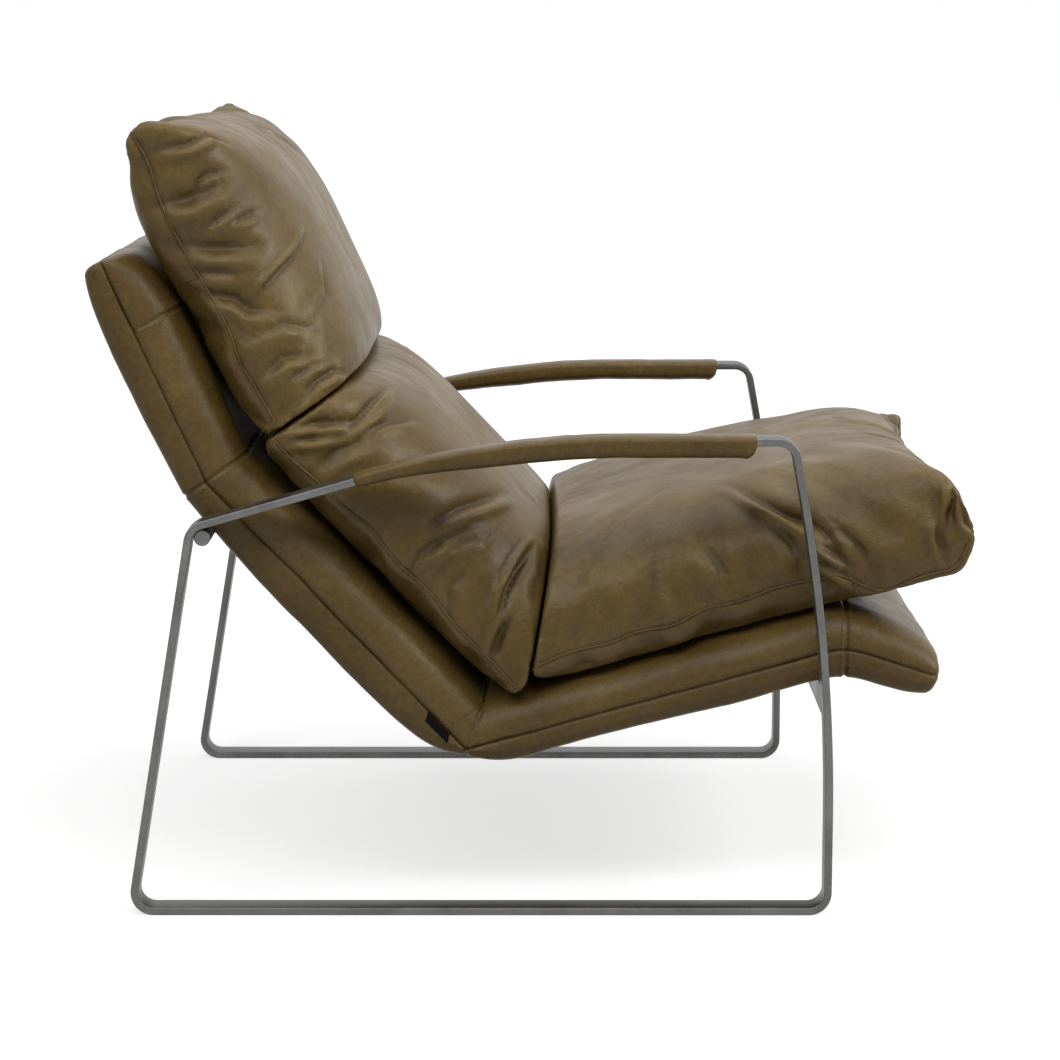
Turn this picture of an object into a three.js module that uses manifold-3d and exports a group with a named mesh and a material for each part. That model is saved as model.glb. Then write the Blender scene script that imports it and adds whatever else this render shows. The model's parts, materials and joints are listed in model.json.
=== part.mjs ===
// Low leather lounge chair. Two loops of flat steel bar carry a padded shell, bent like a sling,
// on which three loose leather cushions lie.
// Side views are drawn as (forward, up) in millimetres: forward is -Y, up is +Z, X runs across.

import * as THREE from 'three';
import { mergeVertices } from 'three/addons/utils/BufferGeometryUtils.js';
import Module from 'manifold-3d';

const wasm = await Module();
wasm.setup();

// Gap kept between neighbouring pieces
const clearance = 0.3;

// Steel loops
const frameWidth = 720;
const barWidth = 32;
const barThickness = 8;
const barEdge = 1.2;
const baseLength = 737;
const armHeight = 503;
const rearArmHeight = 413;
const rearLegLean = 9.5;
const armAngle = 15.9;
const frontLegLean = 10.5;
const frontTopSetback = 42;
const cornerRadius = 24;
const armSweepRadius = 1000;
const legBowRadius = 1900;

// Cross members
const rodDiameter = 17;
const rodEndInset = 8;
const rodChamfer = 1;
const frontBarHeight = 32;
const frontBarCentre = 225;

// Shell: rear face corners, thicknesses and panel seams
const shellSideGap = 10;
const bendAboveRod = 42;
const upperBackLength = 256;
const upperBackLean = 24.5;
const lowerBackLength = 412;
const lowerBackLean = 43.5;
const lipStart = 28;
const lipLength = 92;
const lipAngle = 16;
const backThickness = 77;
const seatThickness = 71;
const rearBand = 28;
const topEndThickness = 31;
const lipEndThickness = 32;
const endRearRounding = 12;
const topTaper = 80;
const rearTaper = 60;
const creaseRadius = 130;
const lipRadius = 140;
const rollRadius = 26;
const rollBulge = 2;
const rearEdgeRadius = 10;
const leather = 2.6;

// Frame, webbing and foam inside the shell
const railThickness = 6;
const railHeight = 16;
const railInset = 6;
const railEndInset = 45;
const crossRailWidth = 22;
const strapWidth = 50;
const strapThickness = 2;
const upperStraps = 2;
const lowerStraps = 3;
const seatStraps = 4;

// Mounting tabs and bolts
const tabLength = 34;
const tabWidth = 30;
const tabThickness = 4;
const tabSpacing = 360;
const boltDiameter = 8;
const boltHeadDiameter = 13;
const boltHeadHeight = 5;
const boltGrip = 10;

// Arm covers
const sleeveFrontGap = 42;
const sleeveLength = 412;
const armPadThickness = 9;
const armPadEnd = 1;
const armPadRearRamp = 170;
const armPadFrontRamp = 24;
const sleeveEdge = 5;

// Cushions
const cushionSideGap = 7;
const cushionPull = 9;
const zipLength = 300;
const zipWidth = 7;
const zipPlace = 0.45;
const headLength = 346;
const headBand = 37;
const headRise = 112;
const lumbarBand = 36;
const lumbarRise = 120;
const lumbarOverhang = 40;
const channelAboveBend = 2;
const seatLength = 490;
const seatBandRear = 22;
const seatBandFront = 42;
const seatRise = 104;
const seatCrownFall = 0.12;
const seatCrownCentre = 0.12;
const valleyAheadOfCrease = 46;
const valleyAngle = 5;
const headDrop = 40;
const lumbarDrop = 44;
const seatDrop = 48;

// Values worked out from the driving dimensions
const radians = THREE.MathUtils.degToRad;
const outerHalf = frameWidth / 2;
const innerHalf = outerHalf - barWidth;
const barCentre = outerHalf - barWidth / 2;
const shellHalf = innerHalf - shellSideGap;
const cushionHalf = innerHalf - cushionSideGap;
const rodRadius = rodDiameter / 2;

function finish(color, roughness, metalness) {
  return new THREE.MeshStandardMaterial({ color, roughness, metalness });
}

const steel = finish(0x6c6e6e, 0.45, 0.9);
const zinc = finish(0x9a9c9e, 0.4, 0.9);
const hide = finish(0x584a30, 0.5, 0);
const hideShade = finish(0x4d4029, 0.55, 0);
const foam = finish(0xd9d0b4, 0.95, 0);
const fibre = finish(0xe6e2d8, 0.95, 0);
const webbing = finish(0x2e2c29, 0.9, 0);
const zipTape = finish(0x2a261d, 0.7, 0.1);

const point = (forward, up) => new THREE.Vector2(forward, up);
const heading = (angle) => point(Math.cos(radians(angle)), Math.sin(radians(angle)));
const leftOf = (direction) => point(-direction.y, direction.x);
const along = (start, direction, distance) => start.clone().addScaledVector(direction, distance);
const inSpace = (x, side) => new THREE.Vector3(x, -side.x, side.y);

// Where the line through a along u meets the line through b along v
function meet(a, u, b, v) {
  const gap = b.clone().sub(a);
  return along(a, u, gap.cross(v) / u.cross(v));
}

// Closed meshes and solids

function asSolid(geometry) {
  const bare = geometry.clone();
  bare.deleteAttribute('normal');
  bare.deleteAttribute('uv');
  const merged = mergeVertices(bare, 1e-4);
  return new wasm.Manifold(new wasm.Mesh({
    numProp: 3,
    vertProperties: new Float32Array(merged.attributes.position.array),
    triVerts: new Uint32Array(merged.index.array),
  }));
}

function asGeometry(solid) {
  const mesh = solid.getMesh();
  const geometry = new THREE.BufferGeometry();
  geometry.setAttribute('position', new THREE.BufferAttribute(new Float32Array(mesh.vertProperties), 3));
  geometry.setIndex(new THREE.BufferAttribute(new Uint32Array(mesh.triVerts), 1));
  geometry.computeVertexNormals();
  return geometry;
}

function cut(body, ...tools) {
  let solid = asSolid(body);
  for (const tool of tools) {
    solid = solid.subtract(asSolid(tool));
  }
  return asGeometry(solid);
}

function closedMesh(positions, index) {
  let volume = 0;
  const corner = (k) => new THREE.Vector3().fromArray(positions, 3 * index[k]);
  for (let k = 0; k < index.length; k += 3) {
    volume += corner(k).dot(corner(k + 1).cross(corner(k + 2)));
  }
  const geometry = new THREE.BufferGeometry();
  geometry.setAttribute('position', new THREE.Float32BufferAttribute(positions, 3));
  geometry.setIndex(volume > 0 ? index : index.toReversed());
  geometry.computeVertexNormals();
  return geometry;
}

// Skin through matching convex loops, closed by flat ends
function loft(loops) {
  const count = loops[0].length;
  const last = (loops.length - 1) * count;
  const index = [];
  for (let ring = 0; ring < last; ring += count) {
    for (let k = 0; k < count; k += 1) {
      const a = ring + k;
      const b = ring + (k + 1) % count;
      index.push(a, b, b + count, a, b + count, a + count);
    }
  }
  for (let k = 1; k + 1 < count; k += 1) {
    index.push(0, k + 1, k);
    index.push(last, last + k, last + k + 1);
  }
  return closedMesh(loops.flat().flatMap((place) => place.toArray()), index);
}

// Side-view outline given a width along X, from xStart towards -X, with softened edges
const acrossChair = new THREE.Matrix4().makeBasis(
  new THREE.Vector3(0, -1, 0),
  new THREE.Vector3(0, 0, 1),
  new THREE.Vector3(-1, 0, 0),
);

function extrudeAcross(shape, xStart, width, edge = 0) {
  const geometry = new THREE.ExtrudeGeometry(shape, {
    depth: width - 2 * edge,
    curveSegments: 4,
    bevelEnabled: edge > 0,
    bevelSegments: 1,
    bevelSize: edge,
    bevelThickness: edge,
    bevelOffset: -edge,
  });
  geometry.translate(0, 0, edge);
  geometry.applyMatrix4(acrossChair);
  geometry.translate(xStart, 0, 0);
  return geometry;
}

// Round bar along X, or a turned piece along any side-view direction
function turned(profile, direction, sides = 20) {
  const geometry = new THREE.LatheGeometry(profile, sides);
  const axis = new THREE.Vector3(0, 1, 0);
  geometry.applyQuaternion(new THREE.Quaternion().setFromUnitVectors(axis, direction));
  return geometry;
}

// Flat-bar loop

const rearFoot = point(-baseLength / 2, 0);
const frontFoot = point(baseLength / 2, 0);
const rearTop = point(rearFoot.x + rearArmHeight * Math.tan(radians(rearLegLean)), rearArmHeight);
const frontTop = point(frontFoot.x - frontTopSetback, armHeight);
const armLevel = point(1, 0);
const armSlope = heading(armAngle);
const armKnee = meet(rearTop, armSlope, frontTop, armLevel);
const legKnee = meet(frontTop, heading(-90 + frontLegLean), frontFoot, heading(-90));

// Corners in order along the floor, up the front leg, back along the arm and down the rear leg
const loopCorners = [
  { at: rearFoot, radius: cornerRadius },
  { at: frontFoot, radius: cornerRadius },
  { at: legKnee, radius: legBowRadius },
  { at: frontTop, radius: cornerRadius },
  { at: armKnee, radius: armSweepRadius },
  { at: rearTop, radius: cornerRadius },
];

// Each bend keeps to the straight length that its neighbours leave
function bends(corners) {
  const count = corners.length;
  const list = corners.map((corner, k) => {
    const before = corners[(k + count - 1) % count].at;
    const after = corners[(k + 1) % count].at;
    const inward = corner.at.clone().sub(before).normalize();
    const outward = after.clone().sub(corner.at).normalize();
    const turn = Math.acos(THREE.MathUtils.clamp(inward.dot(outward), -1, 1));
    const slope = Math.tan(turn / 2);
    return { ...corner, k, inward, slope, turn, used: 0 };
  });
  for (const bend of list.toSorted((a, b) => a.radius * a.slope - b.radius * b.slope)) {
    const before = list[(bend.k + count - 1) % count];
    const after = list[(bend.k + 1) % count];
    const room = Math.min(
      bend.at.distanceTo(before.at) - before.used,
      bend.at.distanceTo(after.at) - after.used,
    );
    bend.used = Math.min(bend.radius * bend.slope, room - 2 * barEdge);
    bend.radius = bend.used / bend.slope;
    bend.centre = along(along(bend.at, bend.inward, -bend.used), leftOf(bend.inward), bend.radius);
  }
  return list;
}

const loopBends = bends(loopCorners);
const bendAtCorner = (corner) => loopBends.find((bend) => bend.at === corner);

// Outline with round bends, moved inwards
function loopOutline(path, inset) {
  for (const { centre, radius, inward, turn } of loopBends) {
    const start = leftOf(inward).negate().angle();
    path.absarc(centre.x, centre.y, radius - inset, start, start + turn, false);
  }
  path.closePath();
  return path;
}

function sideLoop() {
  const shape = loopOutline(new THREE.Shape(), 0);
  shape.holes.push(loopOutline(new THREE.Path(), barThickness));
  return extrudeAcross(shape, barWidth / 2, barWidth, barEdge);
}

// The rod lies in the inside of the rear top bend
const rearBend = bendAtCorner(rearTop);
const rodDepth = Math.max(rearBend.radius - barThickness - rodRadius - clearance, 0);
const rodCentre = along(rearBend.centre, rearTop.clone().sub(rearBend.centre).normalize(), rodDepth);

function rearRod() {
  const half = outerHalf - rodEndInset;
  const profile = [
    point(0, -half),
    point(rodRadius - rodChamfer, -half),
    point(rodRadius, -half + rodChamfer),
    point(rodRadius, half - rodChamfer),
    point(rodRadius - rodChamfer, half),
    point(0, half),
  ];
  return turned(profile, new THREE.Vector3(1, 0, 0));
}

// The front bar stands in line with the bowed front legs
const legBend = bendAtCorner(legKnee);
const legBowCentre = legBend.centre;
const legAngle = Math.asin(
  THREE.MathUtils.clamp((frontBarCentre - legBowCentre.y) / legBend.radius, 0, legBend.turn),
);
const legOutwards = point(Math.cos(legAngle), Math.sin(legAngle));
const legUpwards = leftOf(legOutwards);
const frontBarMiddle = legAngle > 0
  ? along(legBowCentre, legOutwards, legBend.radius - barThickness / 2)
  : point(frontFoot.x - barThickness / 2, frontBarCentre);
const frontBarRear = along(frontBarMiddle, legOutwards, -barThickness / 2);
const frontBarEdge = along(frontBarRear, legUpwards, frontBarHeight / 2);

function frontBar() {
  const corner = (out, up) => along(
    along(frontBarMiddle, legOutwards, out * barThickness / 2),
    legUpwards,
    up * frontBarHeight / 2,
  );
  const shape = new THREE.Shape([corner(-1, -1), corner(1, -1), corner(1, 1), corner(-1, 1)]);
  const half = innerHalf - clearance;
  return extrudeAcross(shape, half, 2 * half, barEdge);
}

// Shell lines: the rear face from the top edge over the rod to the crease, the front bar and the lip

const lowerBackway = heading(lowerBackLean - 90);
const lowerBackFace = leftOf(lowerBackway);
const rodTouch = along(rodCentre, lowerBackFace, rodRadius + clearance);
const bendCorner = along(rodTouch, lowerBackway, -bendAboveRod);
const topCorner = along(bendCorner, heading(upperBackLean - 90), -upperBackLength);
const creaseCorner = along(bendCorner, lowerBackway, lowerBackLength);
const seatTouch = along(
  frontBarEdge,
  leftOf(frontBarEdge.clone().sub(creaseCorner).normalize()),
  clearance,
);
const seatWay = seatTouch.clone().sub(creaseCorner).normalize();
const lipCorner = along(seatTouch, seatWay, lipStart);
const lipEnd = along(lipCorner, heading(-lipAngle), lipLength);
const rearLine = [topCorner, bendCorner, creaseCorner, lipCorner, lipEnd];

const ways = rearLine.slice(1).map((end, k) => end.clone().sub(rearLine[k]).normalize());
const faces = ways.map(leftOf);
const lengths = ways.map((way, k) => rearLine[k].distanceTo(rearLine[k + 1]));
const starts = [0];
for (const length of lengths) {
  starts.push(starts.at(-1) + length);
}
const [topAt, bendAt, creaseAt, lipAt, endAt] = starts;
const topSeamAt = topAt + topTaper;

// The rear line moved forward, with mitred corners
function offsetLine(offsets) {
  const edges = ways.map((way, k) => along(rearLine[k], faces[k], offsets[k]));
  const line = [edges[0]];
  for (let k = 1; k < ways.length; k += 1) {
    line.push(meet(edges[k - 1], ways[k - 1], edges[k], ways[k]));
  }
  line.push(along(lipEnd, faces.at(-1), offsets.at(-1)));
  return line;
}

const seamLine = offsetLine([rearBand, rearBand, rearBand, rearBand]);
const frontLine = offsetLine([backThickness, backThickness, seatThickness, seatThickness]);

// Share of an end's rounding at a distance from that end
function endRounding(distance, reach) {
  const rest = THREE.MathUtils.clamp((reach - distance) / reach, 0, 1);
  return 1 - Math.sqrt(1 - rest * rest);
}

// Round corners of the rear face: the lip's rounding begins ahead of the front bar
function roundCorner(k, radius, room) {
  const slope = Math.tan(Math.acos(THREE.MathUtils.clamp(ways[k - 1].dot(ways[k]), -1, 1)) / 2);
  const reach = Math.min(radius * slope, room);
  return { at: starts[k], reach, radius: reach / slope };
}

const crease = roundCorner(2, creaseRadius, lengths[2] / 3);
const lip = roundCorner(3, lipRadius, lipStart - barThickness);

// Depth of a round corner inside the sharp one at a distance along the rear line
function cornerDepth({ at, reach, radius }, distance) {
  const rest = Math.max(reach - Math.abs(distance - at), 0);
  return radius - Math.sqrt(radius ** 2 - rest ** 2);
}

const stretchAt = (distance) => {
  const k = starts.findLastIndex((start) => start <= distance);
  return THREE.MathUtils.clamp(k, 0, ways.length - 1);
};

// Point of the rear line at a distance along it, with the directions along and square to it
function linePlace(distance) {
  const k = stretchAt(distance);
  return { foot: along(rearLine[k], ways[k], distance - starts[k]), way: ways[k], face: faces[k] };
}

// Points of the rear face, side seam and front face at a distance along the rear line
function station(distance) {
  const k = stretchAt(distance);
  const share = (distance - starts[k]) / lengths[k];
  const rear = rearLine[k].clone().add(ways[k].clone().multiplyScalar(share * lengths[k]));
  const seam = seamLine[k].clone().add(seamLine[k + 1].clone().sub(seamLine[k]).multiplyScalar(share));
  const front = frontLine[k].clone().add(frontLine[k + 1].clone().sub(frontLine[k]).multiplyScalar(share));
  const face = front.clone().sub(rear).normalize();

  rear.addScaledVector(face, cornerDepth(crease, distance));
  for (const place of [rear, seam, front]) {
    place.addScaledVector(face, -cornerDepth(lip, distance));
  }

  const fromTop = Math.max(distance - topAt, 0);
  const fromEnd = Math.max(endAt - distance, 0);
  const topFall = (backThickness - endRearRounding - topEndThickness) * endRounding(fromTop, topTaper);
  const lipFall = (seatThickness - endRearRounding - lipEndThickness) * endRounding(fromEnd, lipLength);
  front.addScaledVector(face, -topFall - lipFall);
  const rearRise = endRounding(fromTop, rearTaper) + endRounding(fromEnd, rearTaper);
  rear.addScaledVector(face, endRearRounding * rearRise);
  return { rear, seam, front, way: ways[k], face: faces[k] };
}

// Distances at which the shell changes direction or thickness
const topSteps = [0.08, 0.3, 0.6].map((share) => topAt + share * topTaper);
const lipSteps = [0.4, 0.15, 0.05].map((share) => endAt - share * lipLength);
const breaks = [
  topAt,
  ...topSteps,
  topAt + rearTaper,
  topSeamAt,
  bendAt,
  creaseAt - crease.reach,
  creaseAt - crease.reach * 0.5,
  creaseAt,
  creaseAt + crease.reach * 0.5,
  creaseAt + crease.reach,
  lipAt - lip.reach,
  lipAt,
  lipAt + lip.reach,
  endAt - rearTaper,
  ...lipSteps,
  endAt,
].toSorted((a, b) => a - b);

function stationsBetween(from, to) {
  const inside = breaks.filter((at) => at > from + 1 && at < to - 1);
  return [from, ...inside, to].map(station);
}

function moved(place, distance) {
  const shift = place.way.clone().multiplyScalar(distance);
  return {
    ...place,
    rear: place.rear.clone().add(shift),
    seam: place.seam.clone().add(shift),
    front: place.front.clone().add(shift),
  };
}

// Half outline of a band in (across, up), mirrored into a closed loop in space
function bandLoop(origin, up, halfOutline) {
  const whole = [...halfOutline, ...halfOutline.map((p) => point(-p.x, p.y)).reverse()];
  return whole.map((p) => inSpace(p.x, along(origin, up, p.y)));
}

function quarterRound(centre, radius, steps) {
  return Array.from({ length: steps + 1 }, (_, k) => {
    const angle = (Math.PI / 2) * (k / steps);
    return point(centre.x + radius * Math.cos(angle), centre.y + radius * Math.sin(angle));
  });
}

// Section of the front half: side wall from the seam, rolled edge and front face
function frontLoop({ seam, front, face }, inset, raise) {
  const up = front.clone().sub(seam).normalize();
  const height = front.distanceTo(seam) - inset / up.dot(face);
  const half = shellHalf - inset;
  const roll = Math.min(rollRadius - inset, height - 3 * clearance);
  const outline = [
    point(half, raise),
    point(half + rollBulge, (height - roll) / 2),
    ...quarterRound(point(half - roll, height - roll), roll, 4),
  ];
  return bandLoop(seam, up, outline);
}

// Section of the rear half: side wall from the seam, edge and rear face
function rearLoop({ seam, rear, face }, inset, raise) {
  const down = rear.clone().sub(seam).normalize();
  const depth = rear.distanceTo(seam) + inset / down.dot(face);
  const half = shellHalf - inset;
  const edge = Math.min(rearEdgeRadius - inset, depth - raise - clearance);
  const outline = [point(half, raise), ...quarterRound(point(half - edge, depth - edge), edge, 2)];
  return bandLoop(seam, down, outline);
}

// Leather panel between two seams: a trough of even thickness, closed where the shell ends
function panel(loop, from, to) {
  const start = from + clearance / 2;
  const stop = to - clearance / 2;
  const overshoot = 2;
  const outside = stationsBetween(start, stop);
  const inside = [...outside];
  inside[0] = moved(outside[0], from === topAt ? leather : -overshoot);
  inside[inside.length - 1] = moved(outside.at(-1), to === endAt ? -leather : overshoot);
  return cut(
    loft(outside.map((place) => loop(place, 0, clearance / 2))),
    loft(inside.map((place) => loop(place, leather, -overshoot))),
  );
}

// Pieces that follow the shell in side view

const insideFace = shellHalf - leather - clearance;
const railOuter = insideFace - railInset;
const railInner = railOuter - railThickness;
const railFrom = topAt + railEndInset;
const railTo = endAt - railEndInset;
const onFront = (place, height) => {
  const up = place.front.clone().sub(place.seam).normalize();
  return along(place.seam, up, height);
};

// Bent flat bar that follows the side seam
function sideRail(grow) {
  const places = stationsBetween(railFrom - grow, railTo + grow);
  const lower = places.map((place) => onFront(place, clearance - grow));
  const upper = places.map((place) => onFront(place, clearance + railHeight + grow));
  const shape = new THREE.Shape([...lower, ...upper.toReversed()]);
  return extrudeAcross(shape, railThickness / 2 + grow, railThickness + 2 * grow);
}

// Block across the shell at a distance along it, between two heights from the seam
function crossBlock(at, width, low, high, half) {
  const { foot, way, face } = linePlace(at);
  const corner = (step, height) => along(along(foot, way, step * width / 2), face, rearBand + height);
  const shape = new THREE.Shape([corner(-1, low), corner(1, low), corner(1, high), corner(-1, high)]);
  return extrudeAcross(shape, half, 2 * half);
}

// The rod tab ends at the rod's flank, the front tab at the bar's raked rear face
const rodFlank = Math.sqrt(rodRadius ** 2 - Math.max(rodRadius - tabThickness, 0) ** 2);
const rodTabAt = bendAt + bendAboveRod + rodFlank + clearance + tabLength / 2;
const barRake = Math.abs(legUpwards.cross(faces[2])) / legUpwards.dot(faces[2]);
const barFlank = (tabThickness + clearance) * barRake + clearance;
const frontTabAt = lipAt - lipStart - barFlank - tabLength / 2;
const boltedRails = { rod_rail: rodTabAt, front_rail: frontTabAt };
const crossRails = {
  top_rail: railFrom + crossRailWidth / 2,
  ...boltedRails,
  lip_rail: railTo - crossRailWidth / 2,
};

function crossRail(at, grow) {
  return crossBlock(
    at,
    crossRailWidth + 2 * grow,
    clearance - grow,
    clearance + railHeight + grow,
    railInner - clearance + grow,
  );
}

function strap(at) {
  const half = insideFace - clearance;
  return crossBlock(at, strapWidth, -clearance - strapThickness, -clearance, half);
}

// Straps are spread evenly along a stretch of the shell
function spread(from, to, count) {
  return Array.from({ length: count }, (_, k) => from + ((to - from) * (k + 0.5)) / count);
}

// Tabs and bolts

const boltXs = [-tabSpacing / 2, tabSpacing / 2];

const boltStem = tabThickness + rearBand + boltGrip;

// Shank from the head's seat upwards, grown where it stands for its own hole
function boltBody(at, x, grow) {
  const { foot, face } = linePlace(at);
  const seat = along(foot, face, -tabThickness - 2 * clearance);
  const shank = boltDiameter / 2 + grow;
  const head = boltHeadDiameter / 2;
  const profile = grow > 0
    ? [point(0, -grow), point(shank, -grow), point(shank, boltStem + grow), point(0, boltStem + grow)]
    : [
      point(0, -boltHeadHeight),
      point(head * 0.7, -boltHeadHeight),
      point(head, -boltHeadHeight / 2),
      point(head, 0),
      point(shank, 0),
      point(shank, boltStem),
      point(0, boltStem),
    ];
  const geometry = turned(profile, inSpace(0, face), 12);
  const origin = inSpace(x, seat);
  geometry.translate(origin.x, origin.y, origin.z);
  return geometry;
}

const boltHoles = (...places) => places.flatMap((at) => boltXs.map((x) => boltBody(at, x, clearance)));

function mountTab(at, x) {
  const { foot, way, face } = linePlace(at);
  const corner = (step, depth) => along(along(foot, way, step * tabLength / 2), face, -clearance - depth);
  const shape = new THREE.Shape([
    corner(-1, 0),
    corner(-1, tabThickness),
    corner(1, tabThickness),
    corner(1, 0),
  ]);
  return cut(extrudeAcross(shape, x + tabWidth / 2, tabWidth), boltBody(at, x, clearance));
}

// Foam in the front half is slotted for the rails, the rear lining is pierced by the bolts

const railSlots = [
  sideRail(clearance).translate(railOuter - railThickness / 2, 0, 0),
  sideRail(clearance).translate(-railOuter + railThickness / 2, 0, 0),
  ...Object.values(crossRails).map((at) => crossRail(at, clearance)),
];

function frontFoam(from, to) {
  const places = stationsBetween(from, to);
  const block = loft(places.map((place) => frontLoop(place, leather + clearance, clearance)));
  return cut(block, ...railSlots, ...boltHoles(rodTabAt, frontTabAt));
}

// The lining stays below the straps, also where its sections lean towards the crease
const creaseLean = seamLine[2].clone().sub(rearLine[2]).normalize().dot(faces[2]);
const liningDepth = (strapThickness + 2 * clearance) / creaseLean;

function lining(from, to, boltsAt) {
  const places = stationsBetween(from, to);
  const block = loft(places.map((place) => rearLoop(place, leather + clearance, liningDepth)));
  return cut(block, ...boltHoles(boltsAt));
}

// Arm covers

const armBend = bendAtCorner(armKnee);
const sleeveStart = frontTop.x - rearTop.x - sleeveFrontGap - sleeveLength;
const armArcCentre = armBend.centre;

// Top face of the arm bar and its upward direction at a distance ahead of the rear bend
function armPlace(distance) {
  const forward = rearTop.x + distance;
  const arcStart = armKnee.x - armBend.used * armSlope.x;
  if (forward <= arcStart) {
    return { top: along(rearTop, armSlope, distance / armSlope.x), up: leftOf(armSlope) };
  }
  if (forward >= armArcCentre.x) {
    return { top: point(forward, armHeight), up: point(0, 1) };
  }
  const offset = forward - armArcCentre.x;
  const up = point(offset, Math.sqrt(armBend.radius ** 2 - offset ** 2)).divideScalar(armBend.radius);
  return { top: along(armArcCentre, up, armBend.radius), up };
}

function armPadDepth(distance) {
  const rise = THREE.MathUtils.smoothstep(distance, 0, armPadRearRamp);
  const fall = THREE.MathUtils.smoothstep(sleeveLength - distance, 0, armPadFrontRamp);
  return armPadEnd + (armPadThickness - armPadEnd) * rise * fall;
}

const sleeveSpans = 14;
const sleeveSteps = Array.from({ length: sleeveSpans + 1 }, (_, k) => k / sleeveSpans);
const frontRampSteps = [0.7, 0.4].map((share) => 1 - (share * armPadFrontRamp) / sleeveLength);
sleeveSteps.splice(-1, 0, ...frontRampSteps);

function armLoops(outline, overshoot) {
  return sleeveSteps.map((share) => {
    const reach = share === 0 ? -overshoot : share === 1 ? overshoot : 0;
    const distance = share * sleeveLength;
    const { top, up } = armPlace(sleeveStart + distance + reach);
    return bandLoop(top, up, outline(armPadDepth(distance)));
  });
}

// Rounded tube round bar and pad, hugging the bar at both ends
function armSleeve() {
  const half = barWidth / 2 + clearance;
  const outer = half + leather;
  const bottom = (depth) => -barThickness - depth - 2 * clearance;
  const outside = (depth) => [
    point(outer - sleeveEdge, bottom(depth) - leather),
    point(outer, bottom(depth) - leather + sleeveEdge),
    point(outer, clearance + leather - sleeveEdge),
    point(outer - sleeveEdge, clearance + leather),
  ];
  const inside = (depth) => [point(half, bottom(depth)), point(half, clearance)];
  return cut(loft(armLoops(outside, 0)), loft(armLoops(inside, 2)));
}

function armPad() {
  const half = barWidth / 2;
  const top = -barThickness - clearance;
  return loft(armLoops((depth) => [point(half, top - depth), point(half, top)], 0));
}

// Cushions: a domed front and a shallower rear meet in a seam that is drawn in between its corners

// How full the cushion is between its middle, 0, and its edge, 1
const fullness = (share, power, root) => (1 - Math.abs(share) ** power) ** (1 / root);

// Smooth lesser of two shares, which keeps the corners full
const softLesser = (a, b) => (a * b > 0 ? (a ** -4 + b ** -4 - 1) ** -0.25 : 0);

function cushionForm(shape, inset, rows, columns) {
  const { low, way, face, length, rise, drop, ends, sides, crown } = shape;
  const middle = along(low, way, length / 2);
  const half = length / 2 - inset;
  const halfWidth = cushionHalf - inset;
  const positions = [];
  const index = [];
  const spot = (i, j, front) => {
    const u = Math.sin((Math.PI / 2) * (2 * i / rows - 1));
    const v = Math.sin((Math.PI / 2) * (2 * j / columns - 1));
    const end = u < 0 ? ends.low : ends.high;
    const full = softLesser(fullness(u, ...end), fullness(v, ...sides));
    const height = front ? (rise - inset) * full * crown(u) : -(drop - inset) * full;
    const s = u * (half - cushionPull * (1 - v * v));
    const x = v * (halfWidth - cushionPull * (1 - u * u));
    return inSpace(x, along(along(middle, way, s), face, height)).toArray();
  };
  for (const front of [true, false]) {
    const base = positions.length / 3;
    for (let i = 0; i <= rows; i += 1) {
      for (let j = 0; j <= columns; j += 1) {
        positions.push(...spot(i, j, front));
      }
    }
    for (let i = 0; i < rows; i += 1) {
      for (let j = 0; j < columns; j += 1) {
        const a = base + i * (columns + 1) + j;
        const b = a + columns + 1;
        const quad = [a, b, b + 1, a, b + 1, a + 1];
        index.push(...(front ? quad : quad.toReversed()));
      }
    }
  }
  const open = new THREE.BufferGeometry();
  open.setAttribute('position', new THREE.Float32BufferAttribute(positions, 3));
  open.setIndex(index);
  const merged = mergeVertices(open, 1e-3);
  const whole = Array.from({ length: merged.index.count / 3 }, (_, k) => k)
    .map((k) => [0, 1, 2].map((c) => merged.index.getX(3 * k + c)))
    .filter(([a, b, c]) => a !== b && b !== c && c !== a);
  return closedMesh(Array.from(merged.attributes.position.array), whole.flat());
}

// Everything on the left of a side-view line, as a block wider than the chair
function halfSpace(origin, direction, offset) {
  const side = leftOf(direction);
  const size = frameWidth + baseLength;
  const edge = along(origin, side, offset);
  const near = along(edge, direction, -size);
  const far = along(edge, direction, size);
  const shape = new THREE.Shape([near, far, along(far, side, size), along(near, side, size)]);
  return extrudeAcross(shape, frameWidth, 2 * frameWidth);
}

// Shell front as one block, grown by the gap to what lies on it
function shellFront(grow) {
  return loft(stationsBetween(topAt - grow, endAt + grow).map((place) => frontLoop(place, -grow, -rearBand)));
}

const upperBackway = ways[0];
const upperBackFace = faces[0];
const seatFace = faces[2];
const bendFront = frontLine[1];
const creaseFront = frontLine[2];

// Head and lumbar cushions meet in a channel, lumbar and seat cushions in a valley
const channelFoot = along(bendFront, upperBackway, -channelAboveBend);
const channelWay = upperBackFace.clone().add(lowerBackFace).normalize();
const valleyFoot = along(creaseFront, seatWay, valleyAheadOfCrease);
const creaseAngle = THREE.MathUtils.radToDeg(lowerBackFace.clone().add(seatFace).angle());
const valleyWay = heading(creaseAngle + valleyAngle);

const gentle = [2.4, 2];
const firm = [6, 4];
const even = () => 1;

const headCushion = {
  low: along(channelFoot, upperBackFace, headBand),
  way: upperBackway.clone().negate(),
  face: upperBackFace,
  length: headLength,
  rise: headRise,
  drop: headDrop,
  ends: { low: firm, high: gentle },
  sides: [4, 2.6],
  crown: even,
  rest: { foot: channelFoot, way: upperBackway.clone().negate(), face: upperBackFace },
  bounds: [[channelFoot, channelWay.clone().negate()]],
};

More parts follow.
